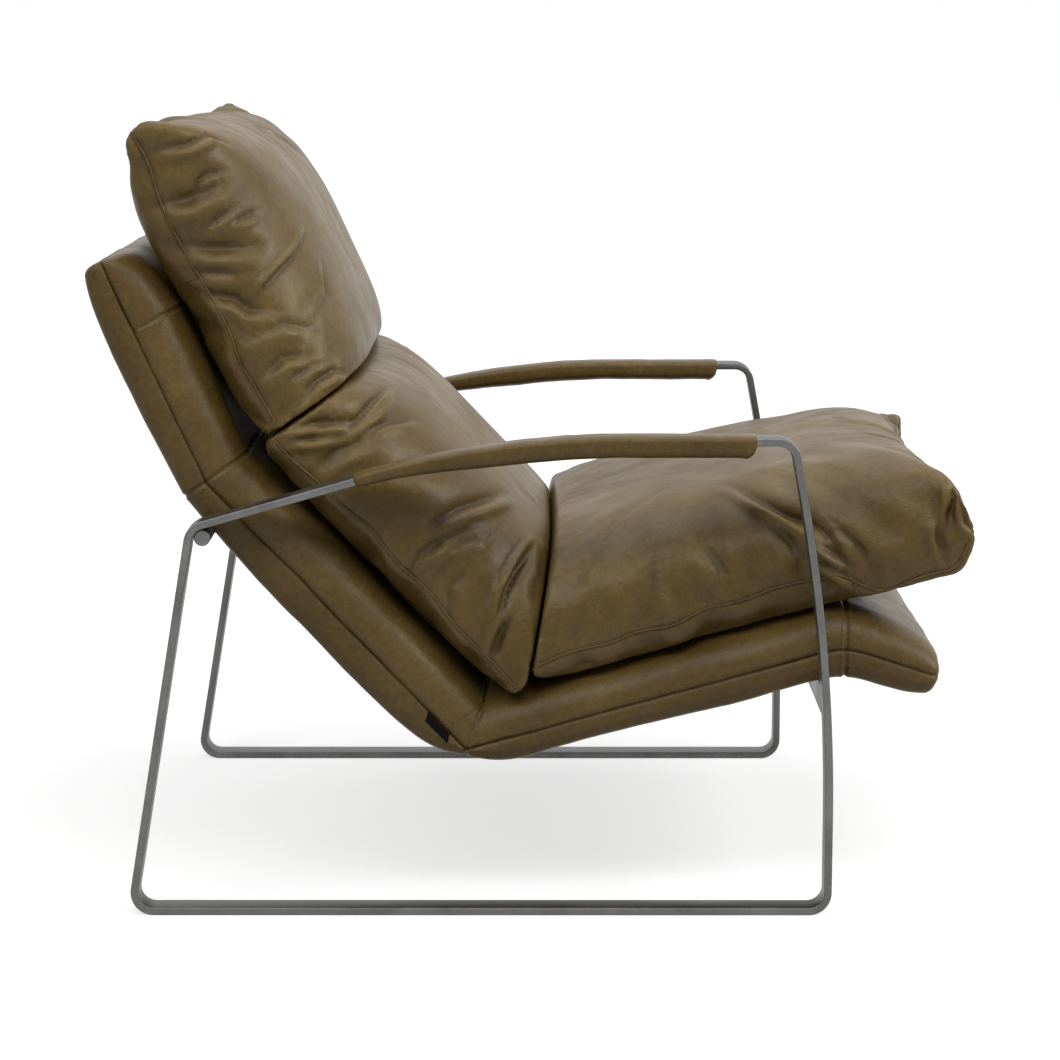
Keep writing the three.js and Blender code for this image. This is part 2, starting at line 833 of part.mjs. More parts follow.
const lumbarFoot = along(creaseFront, lowerBackway, lumbarOverhang);
const lumbarLow = along(lumbarFoot, lowerBackFace, lumbarBand);
const lumbarHigh = along(along(bendFront, lowerBackFace, lumbarBand), lowerBackway, -channelAboveBend);
const lumbarCushion = {
  low: lumbarLow,
  way: lowerBackway.clone().negate(),
  face: lowerBackFace,
  length: lumbarLow.distanceTo(lumbarHigh),
  rise: lumbarRise,
  drop: lumbarDrop,
  ends: { low: firm, high: firm },
  sides: [5, 3],
  crown: even,
  rest: { foot: lumbarFoot, way: lowerBackway.clone().negate(), face: lowerBackFace },
  bounds: [[channelFoot, channelWay], [valleyFoot, valleyWay.clone().negate()]],
};

const seatLow = along(valleyFoot, seatFace, seatBandRear);
const seatHigh = along(along(valleyFoot, seatWay, seatLength), seatFace, seatBandFront);
const seatPlaneWay = seatHigh.clone().sub(seatLow).normalize();
const seatCushion = {
  low: seatLow,
  way: seatPlaneWay,
  face: leftOf(seatPlaneWay),
  length: seatLength,
  rise: seatRise,
  drop: seatDrop,
  ends: { low: firm, high: [8, 4] },
  sides: [7, 4],
  crown: (u) => 1 - seatCrownFall * Math.abs(u + seatCrownCentre) ** 1.3,
  rest: { foot: valleyFoot, way: seatWay, face: seatFace },
  bounds: [[valleyFoot, valleyWay]],
};

// Cushion form pressed flat by the shell and by its neighbours
function pressed(shape, inset, rows, columns) {
  const gap = clearance + inset;
  const planes = shape.bounds.map(([origin, way]) => halfSpace(origin, way, -gap));
  return cut(cushionForm(shape, inset, rows, columns), shellFront(gap), ...planes);
}

// Zip in the face that lies on the shell
function zipBlock(shape, grow, low, high) {
  const { foot, way, face } = shape.rest;
  const middle = along(foot, way, zipPlace * shape.length);
  const corner = (step, height) => along(
    along(middle, way, step * (zipWidth / 2 + grow)),
    face,
    height,
  );
  const outline = new THREE.Shape([corner(-1, low), corner(1, low), corner(1, high), corner(-1, high)]);
  const half = zipLength / 2 + grow;
  return extrudeAcross(outline, half, 2 * half);
}

function cushionPieces(name, shape) {
  const cavity = pressed(shape, leather, 10, 8);
  const slot = zipBlock(shape, clearance, -leather, 3 * leather);
  return [
    [`${name}_cushion_cover`, cut(pressed(shape, 0, 18, 14), cavity, slot), hide],
    [`${name}_cushion_core`, pressed(shape, leather + clearance, 10, 8), fibre],
    [`${name}_cushion_zip`, zipBlock(shape, 0, clearance, clearance + leather), zipTape],
  ];
}

// Assembly

const chair = new THREE.Group();

function add(parent, name, geometry, material, x = 0) {
  const mesh = new THREE.Mesh(geometry, material);
  mesh.name = name;
  mesh.position.x = x;
  parent.add(mesh);
  return mesh;
}

const handed = [['right', -1], ['left', 1]];

const frame = new THREE.Group();
chair.add(frame);
for (const [hand, side] of handed) {
  add(frame, `${hand}_side_frame`, sideLoop(), steel, side * barCentre);
  add(frame, `${hand}_arm_pad`, armPad(), foam, side * barCentre);
  add(frame, `${hand}_arm_sleeve`, armSleeve(), hide, side * barCentre);
}
const rod = add(frame, 'rear_cross_rod', rearRod(), steel);
rod.position.copy(inSpace(0, rodCentre));
add(frame, 'front_cross_bar', frontBar(), steel);
handed.forEach(([hand, side]) => {
  const x = side * tabSpacing / 2;
  add(frame, `${hand}_rod_tab`, mountTab(rodTabAt, x), steel);
  add(frame, `${hand}_front_tab`, mountTab(frontTabAt, x), steel);
  add(frame, `${hand}_rod_bolt`, boltBody(rodTabAt, x, 0), zinc);
  add(frame, `${hand}_front_bolt`, boltBody(frontTabAt, x, 0), zinc);
});

const shell = new THREE.Group();
chair.add(shell);
for (const [hand, side] of handed) {
  add(shell, `${hand}_shell_rail`, sideRail(0), steel, side * (railOuter - railThickness / 2));
}
for (const [name, at] of Object.entries(crossRails)) {
  const rail = crossRail(at, 0);
  add(shell, `shell_${name}`, name in boltedRails ? cut(rail, ...boltHoles(at)) : rail, steel);
}
const strapStretches = [
  ['upper_back', spread(railFrom + crossRailWidth, bendAt, upperStraps)],
  ['lower_back', spread(rodTabAt + crossRailWidth, creaseAt - crease.reach, lowerStraps)],
  ['seat', spread(creaseAt + crease.reach, frontTabAt - crossRailWidth, seatStraps)],
];
for (const [name, places] of strapStretches) {
  places.forEach((at, k) => add(shell, `${name}_strap_${k + 1}`, strap(at), webbing));
}
add(shell, 'back_foam', frontFoam(topSteps[0], creaseAt - clearance), foam);
add(shell, 'seat_foam', frontFoam(creaseAt + clearance, lipSteps.at(-1)), foam);
add(shell, 'back_lining', lining(topAt + rearTaper, creaseAt - crease.reach, rodTabAt), foam);
add(shell, 'seat_lining', lining(creaseAt + crease.reach, endAt - rearTaper, frontTabAt), foam);

const frontPanels = [
  ['shell_top_panel', topAt, topSeamAt],
  ['shell_upper_back_panel', topSeamAt, bendAt],
  ['shell_lower_back_panel', bendAt, creaseAt],
  ['shell_seat_panel', creaseAt, lipAt],
  ['shell_lip_panel', lipAt, endAt],
];
for (const [name, from, to] of frontPanels) {
  add(shell, name, panel(frontLoop, from, to), hide);
}
const rearPanels = [
  ['shell_rear_upper_panel', topAt, bendAt],
  ['shell_rear_lower_panel', bendAt, creaseAt],
  ['shell_underside_panel', creaseAt, lipAt],
  ['shell_lip_underside_panel', lipAt, endAt],
];
for (const [name, from, to] of rearPanels) {
  const bolts = boltHoles(...Object.values(boltedRails).filter((at) => at > from && at < to));
  add(shell, name, cut(panel(rearLoop, from, to), ...bolts), hideShade);
}

const cushions = new THREE.Group();
chair.add(cushions);
const cushionShapes = { head: headCushion, lumbar: lumbarCushion, seat: seatCushion };
for (const [cushion, shape] of Object.entries(cushionShapes)) {
  for (const [name, geometry, material] of cushionPieces(cushion, shape)) {
    add(cushions, name, geometry, material);
  }
}

// The origin lies on the floor under the middle of the whole chair
const reach = new THREE.Box3().setFromObject(chair);
chair.position.y = -(reach.min.y + reach.max.y) / 2;

export default chair;
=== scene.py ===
import json
import math

import bpy
import numpy as np
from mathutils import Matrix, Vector, noise
from mathutils.bvhtree import BVHTree


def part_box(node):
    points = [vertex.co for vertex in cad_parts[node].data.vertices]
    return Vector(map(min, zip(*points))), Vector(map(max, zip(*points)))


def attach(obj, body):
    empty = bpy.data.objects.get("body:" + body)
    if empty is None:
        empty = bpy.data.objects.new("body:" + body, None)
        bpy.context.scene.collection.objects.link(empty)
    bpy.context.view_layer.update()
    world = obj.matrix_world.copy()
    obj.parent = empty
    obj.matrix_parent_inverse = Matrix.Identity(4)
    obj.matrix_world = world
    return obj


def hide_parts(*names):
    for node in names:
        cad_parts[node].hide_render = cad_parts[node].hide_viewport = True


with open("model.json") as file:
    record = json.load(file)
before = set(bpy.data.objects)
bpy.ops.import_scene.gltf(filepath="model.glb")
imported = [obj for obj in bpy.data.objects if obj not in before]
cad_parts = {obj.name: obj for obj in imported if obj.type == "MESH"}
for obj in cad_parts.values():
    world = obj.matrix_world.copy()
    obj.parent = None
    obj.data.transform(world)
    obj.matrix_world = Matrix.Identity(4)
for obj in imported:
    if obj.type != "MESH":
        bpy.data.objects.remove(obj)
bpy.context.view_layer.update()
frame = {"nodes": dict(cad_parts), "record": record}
nodes = frame["nodes"]
scene = bpy.context.scene

# Side views are drawn as (forward, up) in metres: forward is -Y, up is +Z, X runs across the chair.

# Camera
PHOTO_WIDTH = 1060
SENSOR_WIDTH = 36
FOCAL_PIXELS = 3069.3
CAMERA_DISTANCE = 3.4578
CAMERA_HEIGHT = 0.9285
CAMERA_PITCH = 9.523
CAMERA_YAW = 0.0487
CAMERA_BEHIND_FRONT_FOOT = 0.3126

# Steel loops
BAR_WIDTH = 0.032
BAR_THICKNESS = 0.008
BAR_EDGE = 0.0013
EDGE_STEPS = 3
BASE_LENGTH = 0.737
ARM_HEIGHT = 0.503
REAR_ARM_HEIGHT = 0.413
REAR_LEG_LEAN = 9.5
ARM_ANGLE = 15.9
FRONT_LEG_LEAN = 10.5
FRONT_TOP_SETBACK = 0.042
CORNER_RADIUS = 0.024
ARM_SWEEP_RADIUS = 1.0
LEG_BOW_RADIUS = 1.9
BEND_STEPS = 12
SWEEP_STEPS = 28
ROD_CHAMFER = 0.001
ROD_SIDES = 48
TOUCH_GAP = 0.0003

# Shell
SHELL_HALF = 0.318
BEND_ABOVE_ROD = 0.042
UPPER_BACK_LENGTH = 0.256
UPPER_BACK_LEAN = 24.5
LOWER_BACK_LENGTH = 0.412
LOWER_BACK_LEAN = 43.5
LIP_START = 0.028
LIP_LENGTH = 0.094
LIP_ANGLE = 18
BACK_THICKNESS = 0.077
SEAT_THICKNESS = 0.071
REAR_BAND = 0.028
TOP_END_THICKNESS = 0.031
LIP_END_THICKNESS = 0.029
LIP_TAPER = 0.135
END_REAR_ROUNDING = 0.012
TOP_TAPER = 0.080
REAR_TAPER = 0.060
CREASE_RADIUS = 0.130
LIP_RADIUS = 0.075
UPPER_SAG = 0.0035
LOWER_SAG = 0.0075
SEAT_HOLLOW = 0.004
SEAT_HOLLOW_SHARE = 0.7
ROLL_WIDTH = 0.050
ROLL_BULGE = 0.002
ROLL_POWER = 2.1
ROLL_POINTS = 21
FLAT_POINTS = 20
BAND_POINTS = 8
REAR_EDGE = 0.010
REAR_EDGE_SHARE = 0.6
REAR_EDGE_POINTS = 7
END_EDGE = 0.007
SEAM_GROOVE = 0.0018
SEAM_GROOVE_WIDTH = 0.0024
CROSS_SEAM = 0.0017
CROSS_SEAM_WIDTH = 0.0021
LEAST_WALL = 0.004
SHELL_STEP = 0.006
SEAM_RINGS = (-0.005, -0.0032, -0.0016, 0, 0.0016, 0.0032, 0.005)
END_RINGS = (0, 0.001, 0.003)
LEAST_RING_STEP = 0.0006
SHELL_UNEVEN, SHELL_UNEVEN_SCALE, SHELL_SEED = 0.0013, 16, 4
FINE_UNEVEN_SHARE, FINE_UNEVEN_SCALE = 0.4, 3
NOISE_SHIFT = (3.7, 1.9, 5.3)

# Arm sleeves
SLEEVE_FRONT_GAP = 0.042
SLEEVE_LENGTH = 0.412
ARM_PAD = 0.0105
ARM_PAD_END = 0.001
PAD_REAR_RAMP = 0.170
PAD_FRONT_RAMP = 0.010
SLEEVE_WALL = 0.0029
SLEEVE_TOP = 0.0024
SLEEVE_TOP_SQUARENESS = 4.2
SLEEVE_LOW_SQUARENESS = 2.7
SLEEVE_END_TAPER = 0.010
SLEEVE_END_TUCK = 0.0026
SLEEVE_HEM = 0.0007
SLEEVE_HEM_WIDTH = 0.0025
SLEEVE_END_ZONE = 0.05
SLEEVE_SIDES = 40
SLEEVE_END_RINGS, SLEEVE_MIDDLE_RINGS = 34, 80
SLEEVE_UNEVEN, SLEEVE_UNEVEN_SCALE, SLEEVE_SEED = 0.0005, 30, 9

# Cushions; ears give the near and the far side, which has its own lift, droop and sink in the photograph
CUSHION_HALF = 0.321
CUSHION_PULL = 0.009
HEAD_LENGTH = 0.346
HEAD_BAND = 0.037
HEAD_RISE = 0.123
HEAD_DROP = 0.046
HEAD_TOP_PULL = 0.002
HEAD_OVERHANG = 0.0015
HEAD_EARS = (0.002, 0.012)
HEAD_FAR_LIFT = 0.032
HEAD_FAR_DROOP = 0.014
LUMBAR_BAND = 0.036
LUMBAR_RISE = 0.1255
LUMBAR_DROP = 0.044
LUMBAR_OVERHANG = 0.024
CHANNEL_ABOVE_BEND = 0.002
CHANNEL_SQUEEZE = 0.007
SEAT_LENGTH = 0.490
SEAT_BAND_REAR = 0.022
SEAT_BAND_FRONT = 0.042
SEAT_RISE = 0.121
SEAT_FRONT_PULL = 0.014
SEAT_EARS = (0.004, 0.014)
SEAT_FAR_SINK = 0.055
SEAT_FAR_LIFT = 0.036
SEAT_DROP = 0.060
SEAT_SEAM_DIP = 0.033
SEAT_CROWN_FALL = 0.194
SEAT_CROWN_CENTRE = 0.3
CROWN_POWER = 1.6
FRONT_SIDES_FROM, FRONT_SIDES_TO = 0.3, 0.95
HIGH_SIDES_FROM, HIGH_SIDES_TO = -0.2, 0.6
EAR_POWER = 8
LIFT_POWERS = (6, 6)
DROOP_POWERS = (4, 2)
SINK_POWERS = (2, 3)
DIP_FROM, DIP_TO = 0.38, 0.6
DIP_END_FROM, DIP_END_TO = 0.87, 1
DIP_POWER = 6
EDGE_SHARPNESS = 4
VALLEY_AHEAD = 0.046
VALLEY_ANGLE = 5
CONTACT_GAP = 0.0004
CONTACT_SOFTNESS = 0.0006
CONTACT_REACH = 6 * CONTACT_SOFTNESS

# Leather of the cushions
GRID_ROWS = 110
GRID_COLUMNS = 150
CLOTH_CELL = 0.006
CLOTH_FRAMES = 20
SEAM_HOLD = 0.008
CONTACT_HOLD = 0.004
CONTACT_HOLD_FADE = 0.003
SPARE_REACH = 0.06
LEAST_WEIGHT = 0.02
FINE_ROUNDS = 3
BROAD_ROUNDS = 70
SWELL_LIMIT = 0.026
CALM_MIDDLE = 0.35
CALM_FROM, CALM_TO = 0.45, 0.85

# Seams of the cushions
SEAM_STEP = 0.004
SEAM_SWAY = 0.0050
SEAM_SWAY_LENGTH = 0.055
SEAM_SWAY_START = 1.5
SEAM_SWAY_SLANT = 0.7
WAVE_SPAN = 3.0
WAVE_POINTS = 6
WAVE_GAIN = 1.6
WAVE_SEED_STEP, WAVE_ROW = 7.3, 1.7
SEAM_DEPTH = 0.0016
SEAM_WIDTH = 0.0030
WELT_RADIUS = 0.0011
WELT_PROUD = 0.0010
WELT_ROUNDS = 6
BAND_JOIN_RADIUS = 0.0009

# Gathers and folds of the cushions
PUCKER_REACH = 0.020
PUCKER_PITCH = 0.030
PUCKER_DEPTH = 0.0045
PUCKER_SLANT = 0.25
PUCKER_SEED, PUCKER_SEED_STEP = 11, 5
PUCKER_REACH_VARIES, PUCKER_REACH_LENGTH = 0.6, 0.09
PUCKER_LEAST, PUCKER_VARIES, PUCKER_VARIES_LENGTH = 0.7, 0.6, 0.15
PUCKER_FREE_FROM, PUCKER_FREE_TO = 0.002, 0.010
SIGHTS = 9
FOLD_STEP = 0.003
FOLD_STRENGTH = 1.7
FOLD_END, FOLD_FADE_POWER, FOLD_FADE_WIDTH = 0.06, 0.7, 2.2
FOLD_ROUND, FOLD_STEEPNESS = 0.03, 1.25
RIDGE_OFFSET, RIDGE_WIDTH = 1.5, 0.9
MIRRORED_BEYOND = 0.2
RELIEF_FINE_ROUNDS, RELIEF_ROUNDS, RELIEF_BROAD_ROUNDS = 2, 16, 128
RELIEF_DEPTH = 0.0012

# Sewing
STITCH_OFFSET = 0.0045
STITCH_SPACING = 0.0052
STITCH_LENGTH = 0.0036
STITCH_PROFILE = ((-0.5, 0.45), (-0.3, 1.0), (0.3, 1.0), (0.5, 0.45))
THREAD_RADIUS = 0.00055
THREAD_SIDES = 5
SEWN_PROUD = 0.0001
ROW_STEP = 0.01
ROW_TOP_GAP = 0.008
ROW_END_GAP = 0.006
STEEP = 0.9
CORD_STEP = 0.004
CORD_PROUD = 0.0002
CORD_SIDES = 8
CREASE_WELT_RUN = 0.030
CREASE_WELT_RADIUS = 0.0011
CREASE_WELT_POINTS = 30
CREASE_DART_RUN = 0.030
CREASE_DART_FOOT = 0.16
CREASE_DART_TIP = 0.95
CREASE_DART_RADIUS = 0.0008
CREASE_DART_POINTS = 24
TAG_ABOVE_CREASE = 0.043
TAG_LENGTH = 0.034
TAG_DEPTH = 0.011
TAG_THICKNESS = 0.0009
TAG_ROWS, TAG_COLUMNS = 13, 5

# Light
FLOOR_HALF = 30
FLOOR_GREY = 0.5
FLOOR_GLOW = 0.68
FLOOR_NEAR = 0.6
FLOOR_FAR = 2.4
WORLD_LIGHT = 0.06
OVERHEAD_POWER = 33
FRONT_POWER = 58
REAR_POWER = 32
SIDE_POWER = 37


# Side-view geometry

def heading(degrees):
    angle = math.radians(degrees)
    return np.array([math.cos(angle), math.sin(angle)])


def left_of(direction):
    return np.array([-direction[1], direction[0]])


def unit(vector):
    return vector / np.linalg.norm(vector)


def cross2(a, b):
    return a[0] * b[1] - a[1] * b[0]


def meet(a, u, b, v):
    """Where the line through a along u meets the line through b along v."""
    return a + u * cross2(b - a, v) / cross2(u, v)


def space(x, side):
    """Point in space of a side-view point."""
    return np.array([x, -side[0], side[1]])


def smoothstep(value, low, high):
    t = np.clip((value - low) / (high - low), 0, 1)
    return t * t * (3 - 2 * t)


def middle_of(node):
    """Middle of a node in the side view."""
    low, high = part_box(node)
    return np.array([-(low.y + high.y) / 2, (low.z + high.z) / 2])


def across_of(node):
    """Middle of a node across the chair."""
    low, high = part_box(node)
    return (low.x + high.x) / 2


# Camera

def add_camera():
    front_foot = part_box("right_side_frame")[0].y
    data = bpy.data.cameras.new("camera")
    data.sensor_width = SENSOR_WIDTH
    data.lens = SENSOR_WIDTH * FOCAL_PIXELS / PHOTO_WIDTH
    camera = bpy.data.objects.new("camera", data)
    camera.location = (-CAMERA_DISTANCE, front_foot + CAMERA_BEHIND_FRONT_FOOT, CAMERA_HEIGHT)
    camera.rotation_euler = (math.radians(90 - CAMERA_PITCH), 0, math.radians(CAMERA_YAW - 90))
    scene.collection.objects.link(camera)
    scene.camera = camera
    bpy.context.view_layer.update()
    return camera


camera = add_camera()


def photo_ray(pixel):
    """Origin and direction of the camera's line of sight through a pixel of the photograph."""
    half = PHOTO_WIDTH / 2
    local = Vector(((pixel[0] - half) / FOCAL_PIXELS, (half - pixel[1]) / FOCAL_PIXELS, -1))
    world = camera.matrix_world
    return world.translation, (world.to_3x3() @ local).normalized()


# Materials

def feed(tree, socket, value):
    """Links a socket to another one, or sets its value."""
    if isinstance(value, bpy.types.NodeSocket):
        tree.links.new(value, socket)
    else:
        socket.default_value = value


def add_node(tree, kind, settings=None, **inputs):
    made = tree.nodes.new(kind)
    for key, value in (settings or {}).items():
        setattr(made, key, value)
    for key, value in inputs.items():
        feed(tree, made.inputs[key.replace("_", " ")], value)
    return made


def start_material(name):
    material = bpy.data.materials.new(name)
    material.use_nodes = True
    tree = material.node_tree
    shader = tree.nodes["Principled BSDF"]
    place = tree.nodes.new("ShaderNodeTexCoord").outputs["Object"]
    return material, tree, shader, place


def noise_of(tree, place, scale, detail=4.0, roughness=0.55):
    made = add_node(tree, "ShaderNodeTexNoise", Vector=place, Scale=scale, Detail=detail, Roughness=roughness)
    return made.outputs["Fac"]


def ramp_of(tree, factor, stops):
    made = add_node(tree, "ShaderNodeValToRGB", Fac=factor)
    elements = made.color_ramp.elements
    while len(elements) < len(stops):
        elements.new(0.5)
    for element, (position, color) in zip(elements, stops):
        element.position = position
        element.color = (*color, 1)
    return made.outputs["Color"]


def range_of(tree, value, low, high, to_low, to_high):
    limits = {"From_Min": low, "From_Max": high, "To_Min": to_low, "To_Max": to_high}
    return add_node(tree, "ShaderNodeMapRange", Value=value, **limits).outputs["Result"]


def mix_colors(tree, factor, a, b, blend="MIX"):
    made = tree.nodes.new("ShaderNodeMix")
    made.data_type = "RGBA"
    made.blend_type = blend
    for socket, value in ((made.inputs["Factor"], factor), (made.inputs[6], a), (made.inputs[7], b)):
        feed(tree, socket, value)
    return made.outputs[2]


def math_of(tree, operation, a, b):
    made = add_node(tree, "ShaderNodeMath", {"operation": operation})
    feed(tree, made.inputs[0], a)
    feed(tree, made.inputs[1], b)
    return made.outputs[0]


def bump_of(tree, height, distance, strength, normal=None):
    made = add_node(tree, "ShaderNodeBump", Height=height, Distance=distance, Strength=strength)
    if normal is not None:
        tree.links.new(normal, made.inputs["Normal"])
    return made.outputs["Normal"]


def leather_material(name, dark, base, light):
    """Waxed leather: cloudy, with painted highlight on fold ridges and painted shade in fold valleys, with
    pebbled grain and fine creases.
    """
    material, tree, shader, place = start_material(name)
    cloud = noise_of(tree, place, 7, 5, 0.6)
    speck = noise_of(tree, place, 160, 3, 0.6)
    color = ramp_of(tree, cloud, [(0.3, dark), (0.52, base), (0.75, light)])
    fine = ramp_of(tree, speck, [(0.35, (0.84, 0.84, 0.84)), (0.65, (1.13, 1.12, 1.1))])
    color = mix_colors(tree, 1.0, color, fine, "MULTIPLY")
    relief = add_node(tree, "ShaderNodeAttribute", {"attribute_name": "relief"}).outputs["Fac"]
    # Painted highlight on the ridges and painted shade in the valleys of the folds, read from the relief
    # attribute
    ridge = range_of(tree, relief, 0.0, 1.0, 0.0, 0.36)
    valley = range_of(tree, relief, 0.0, -1.0, 0.0, 0.52)
    color = mix_colors(tree, ridge, color, (*light, 1))
    color = mix_colors(tree, valley, color, (*(0.45 * c for c in dark), 1))
    tree.links.new(color, shader.inputs["Base Color"])
    rough = range_of(tree, noise_of(tree, place, 24, 4), 0.3, 0.7, 0.33, 0.45)
    tree.links.new(rough, shader.inputs["Roughness"])
    shader.inputs["Specular IOR Level"].default_value = 0.22
    warp = add_node(tree, "ShaderNodeVectorMath", {"operation": "MULTIPLY_ADD"})
    drift = add_node(tree, "ShaderNodeTexNoise", Vector=place, Scale=60.0)
    tree.links.new(drift.outputs["Color"], warp.inputs[0])
    warp.inputs[1].default_value = (0.006, 0.006, 0.006)
    tree.links.new(place, warp.inputs[2])
    pebble = add_node(tree, "ShaderNodeTexVoronoi", Vector=warp.outputs[0], Scale=560.0)
    crease = add_node(
        tree, "ShaderNodeTexVoronoi", {"feature": "DISTANCE_TO_EDGE"}, Vector=warp.outputs[0], Scale=95.0,
    )
    crease_height = range_of(tree, crease.outputs["Distance"], 0.0, 0.12, 0.0, 1.0)
    normal = bump_of(tree, noise_of(tree, place, 38, 4), 0.002, 0.22)
    normal = bump_of(tree, crease_height, 0.0003, 0.16, normal)
    normal = bump_of(tree, pebble.outputs["Distance"], 0.0004, 0.35, normal)
    tree.links.new(normal, shader.inputs["Normal"])
    return material


def steel_material(name, dark, light, rough_low, rough_high):
    """Flat-rolled steel: cloudy grey with faint scuffs."""
    material, tree, shader, place = start_material(name)
    cloud = noise_of(tree, place, 14, 6, 0.65)
    scuff = noise_of(tree, place, 240, 3, 0.6)
    color = ramp_of(tree, cloud, [(0.32, dark), (0.7, light)])
    color = mix_colors(tree, 0.25, color, ramp_of(tree, scuff, [(0.3, dark), (0.7, light)]))
    tree.links.new(color, shader.inputs["Base Color"])
    tree.links.new(range_of(tree, cloud, 0.3, 0.7, rough_low, rough_high), shader.inputs["Roughness"])
    shader.inputs["Metallic"].default_value = 1.0
    normal = bump_of(tree, scuff, 0.0002, 0.12)
    tree.links.new(bump_of(tree, cloud, 0.001, 0.08, normal), shader.inputs["Normal"])
    return material


def plain_material(name, dark, light, scale, roughness, bump, specular=0.5):
    """Foam, fibre, webbing and other hidden stuff: two tones of one colour with a matching relief."""
    material, tree, shader, place = start_material(name)
    grain = noise_of(tree, place, scale, 4, 0.6)
    tree.links.new(ramp_of(tree, grain, [(0.35, dark), (0.65, light)]), shader.inputs["Base Color"])
    shader.inputs["Roughness"].default_value = roughness
    shader.inputs["Specular IOR Level"].default_value = specular
    tree.links.new(bump_of(tree, grain, bump, 0.4), shader.inputs["Normal"])
    return material


hide = leather_material("hide", (0.074, 0.0438, 0.0105), (0.105, 0.0659, 0.0169), (0.142, 0.0965, 0.031))
# hide_shade is the same leather as hide made darker, for the shell's rear panels: painted shade
hide_shade = leather_material(
    "hide_shade", (0.060, 0.0354, 0.0078), (0.085, 0.0519, 0.0119), (0.115, 0.0751, 0.0221),
)
steel = steel_material("frame_steel", (0.085, 0.085, 0.083), (0.165, 0.165, 0.161), 0.36, 0.52)
zinc = steel_material("zinc", (0.36, 0.37, 0.38), (0.52, 0.53, 0.54), 0.3, 0.42)
inner_steel = plain_material("inner_steel", (0.02, 0.02, 0.02), (0.035, 0.035, 0.035), 300, 0.45, 0.0002)
foam = plain_material("foam", (0.6, 0.53, 0.37), (0.74, 0.67, 0.5), 700, 0.95, 0.0006)
fibre = plain_material("fibre", (0.7, 0.67, 0.6), (0.82, 0.79, 0.73), 400, 0.95, 0.0006)
webbing = plain_material("webbing", (0.018, 0.016, 0.015), (0.04, 0.036, 0.033), 500, 0.85, 0.0004)
zip_tape = plain_material("zip_tape", (0.014, 0.012, 0.009), (0.03, 0.026, 0.02), 600, 0.7, 0.0003)
thread = plain_material("thread", (0.092, 0.062, 0.024), (0.140, 0.101, 0.047), 900, 0.7, 0.0002, 0.2)
woven = plain_material("woven", (0.003, 0.003, 0.003), (0.008, 0.008, 0.008), 1500, 0.95, 0.0003, 0.08)

SLOT_MATERIALS = {
    "frame_steel": steel, "zinc": zinc, "inner_steel": inner_steel, "hide": hide, "hide_shade": hide_shade,
    "foam": foam, "fibre": fibre, "webbing": webbing, "zip_tape": zip_tape,
}
for subpart in frame["record"]["subparts"]:
    mesh = nodes[subpart["node"]].data
    mesh.materials.clear()
    mesh.materials.append(SLOT_MATERIALS[subpart["material_slot"]])


# Meshes

def add_mesh(name, points, faces, material, replaced=()):
    mesh = bpy.data.meshes.new(name)
    mesh.from_pydata([tuple(p) for p in points], [], faces)
    mesh.validate()
    mesh.update()
    mesh.materials.append(material)
    mesh.polygons.foreach_set("use_smooth", [True] * len(mesh.polygons))
    piece = bpy.data.objects.new(name, mesh)
    scene.collection.objects.link(piece)
    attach(piece, "root")
    if replaced:
        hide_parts(*replaced)
    return piece


def ring_faces(rings, count, closed=False):
    """Quads between rings of count points each, with flat ends or closed on itself."""
    faces = []
    spans = rings if closed else rings - 1
    for i in range(spans):
        a, b = i * count, (i + 1) % rings * count
        for k in range(count):
            m = (k + 1) % count
            faces.append((a + k, a + m, b + m, b + k))
    if not closed:
        faces.append(tuple(reversed(range(count))))
        faces.append(tuple(range((rings - 1) * count, rings * count)))
    return faces


def resample(points, spacing):
    """Points spread evenly along a line in space, and the directions there."""
    points = np.asarray(points, float)
    steps = np.linalg.norm(np.diff(points, axis=0), axis=1)
    along = np.concatenate([[0], np.cumsum(steps)])
    count = max(int(round(along[-1] / spacing)), 2)
    places = np.linspace(0, along[-1], count + 1)
    even = np.stack([np.interp(places, along, points[:, k]) for k in range(3)], 1)
    ways = np.gradient(even, axis=0)
    return even, ways / np.linalg.norm(ways, axis=1)[:, None]


def square_to(ways):
    """Two directions square to each way."""
    up = np.where(np.abs(ways[:, 2:3]) > STEEP, np.array([[1.0, 0, 0]]), np.array([[0, 0, 1.0]]))
    side = np.cross(ways, up)
    side /= np.linalg.norm(side, axis=1)[:, None]
    return side, np.cross(side, ways)


def ring_round(place, side, up, radius, count):
    """Points on a circle across a line."""
    turns = [2 * math.pi * k / count for k in range(count)]
    return [place + radius * (side * math.cos(turn) + up * math.sin(turn)) for turn in turns]


def add_stitches(name, line):
    """A row of short raised threads along a line."""
    even, ways = resample(line, STITCH_SPACING)
    sides, ups = square_to(ways)
    points, faces = [], []
    for place, way, side, up in zip(even, ways, sides, ups):
        base = len(points)
        for step, share in STITCH_PROFILE:
            points += ring_round(
                place + way * step * STITCH_LENGTH, side, up, THREAD_RADIUS * share, THREAD_SIDES,
            )
        stitch = ring_faces(len(STITCH_PROFILE), THREAD_SIDES)
        faces.extend(tuple(base + k for k in face) for face in stitch)
    return add_mesh(name, points, faces, thread)


def add_cord(name, line, radius, closed=False):
    """Thin welt of leather along a line."""
    even, ways = resample(line, CORD_STEP)
    if closed:
        even, ways = even[:-1], ways[:-1]
    across, ups = square_to(ways)
    points = []
    for place, side, up in zip(even, across, ups):
        points += ring_round(place, side, up, radius, CORD_SIDES)
    return add_mesh(name, points, ring_faces(len(even), CORD_SIDES, closed), hide)


# Flat-bar loops

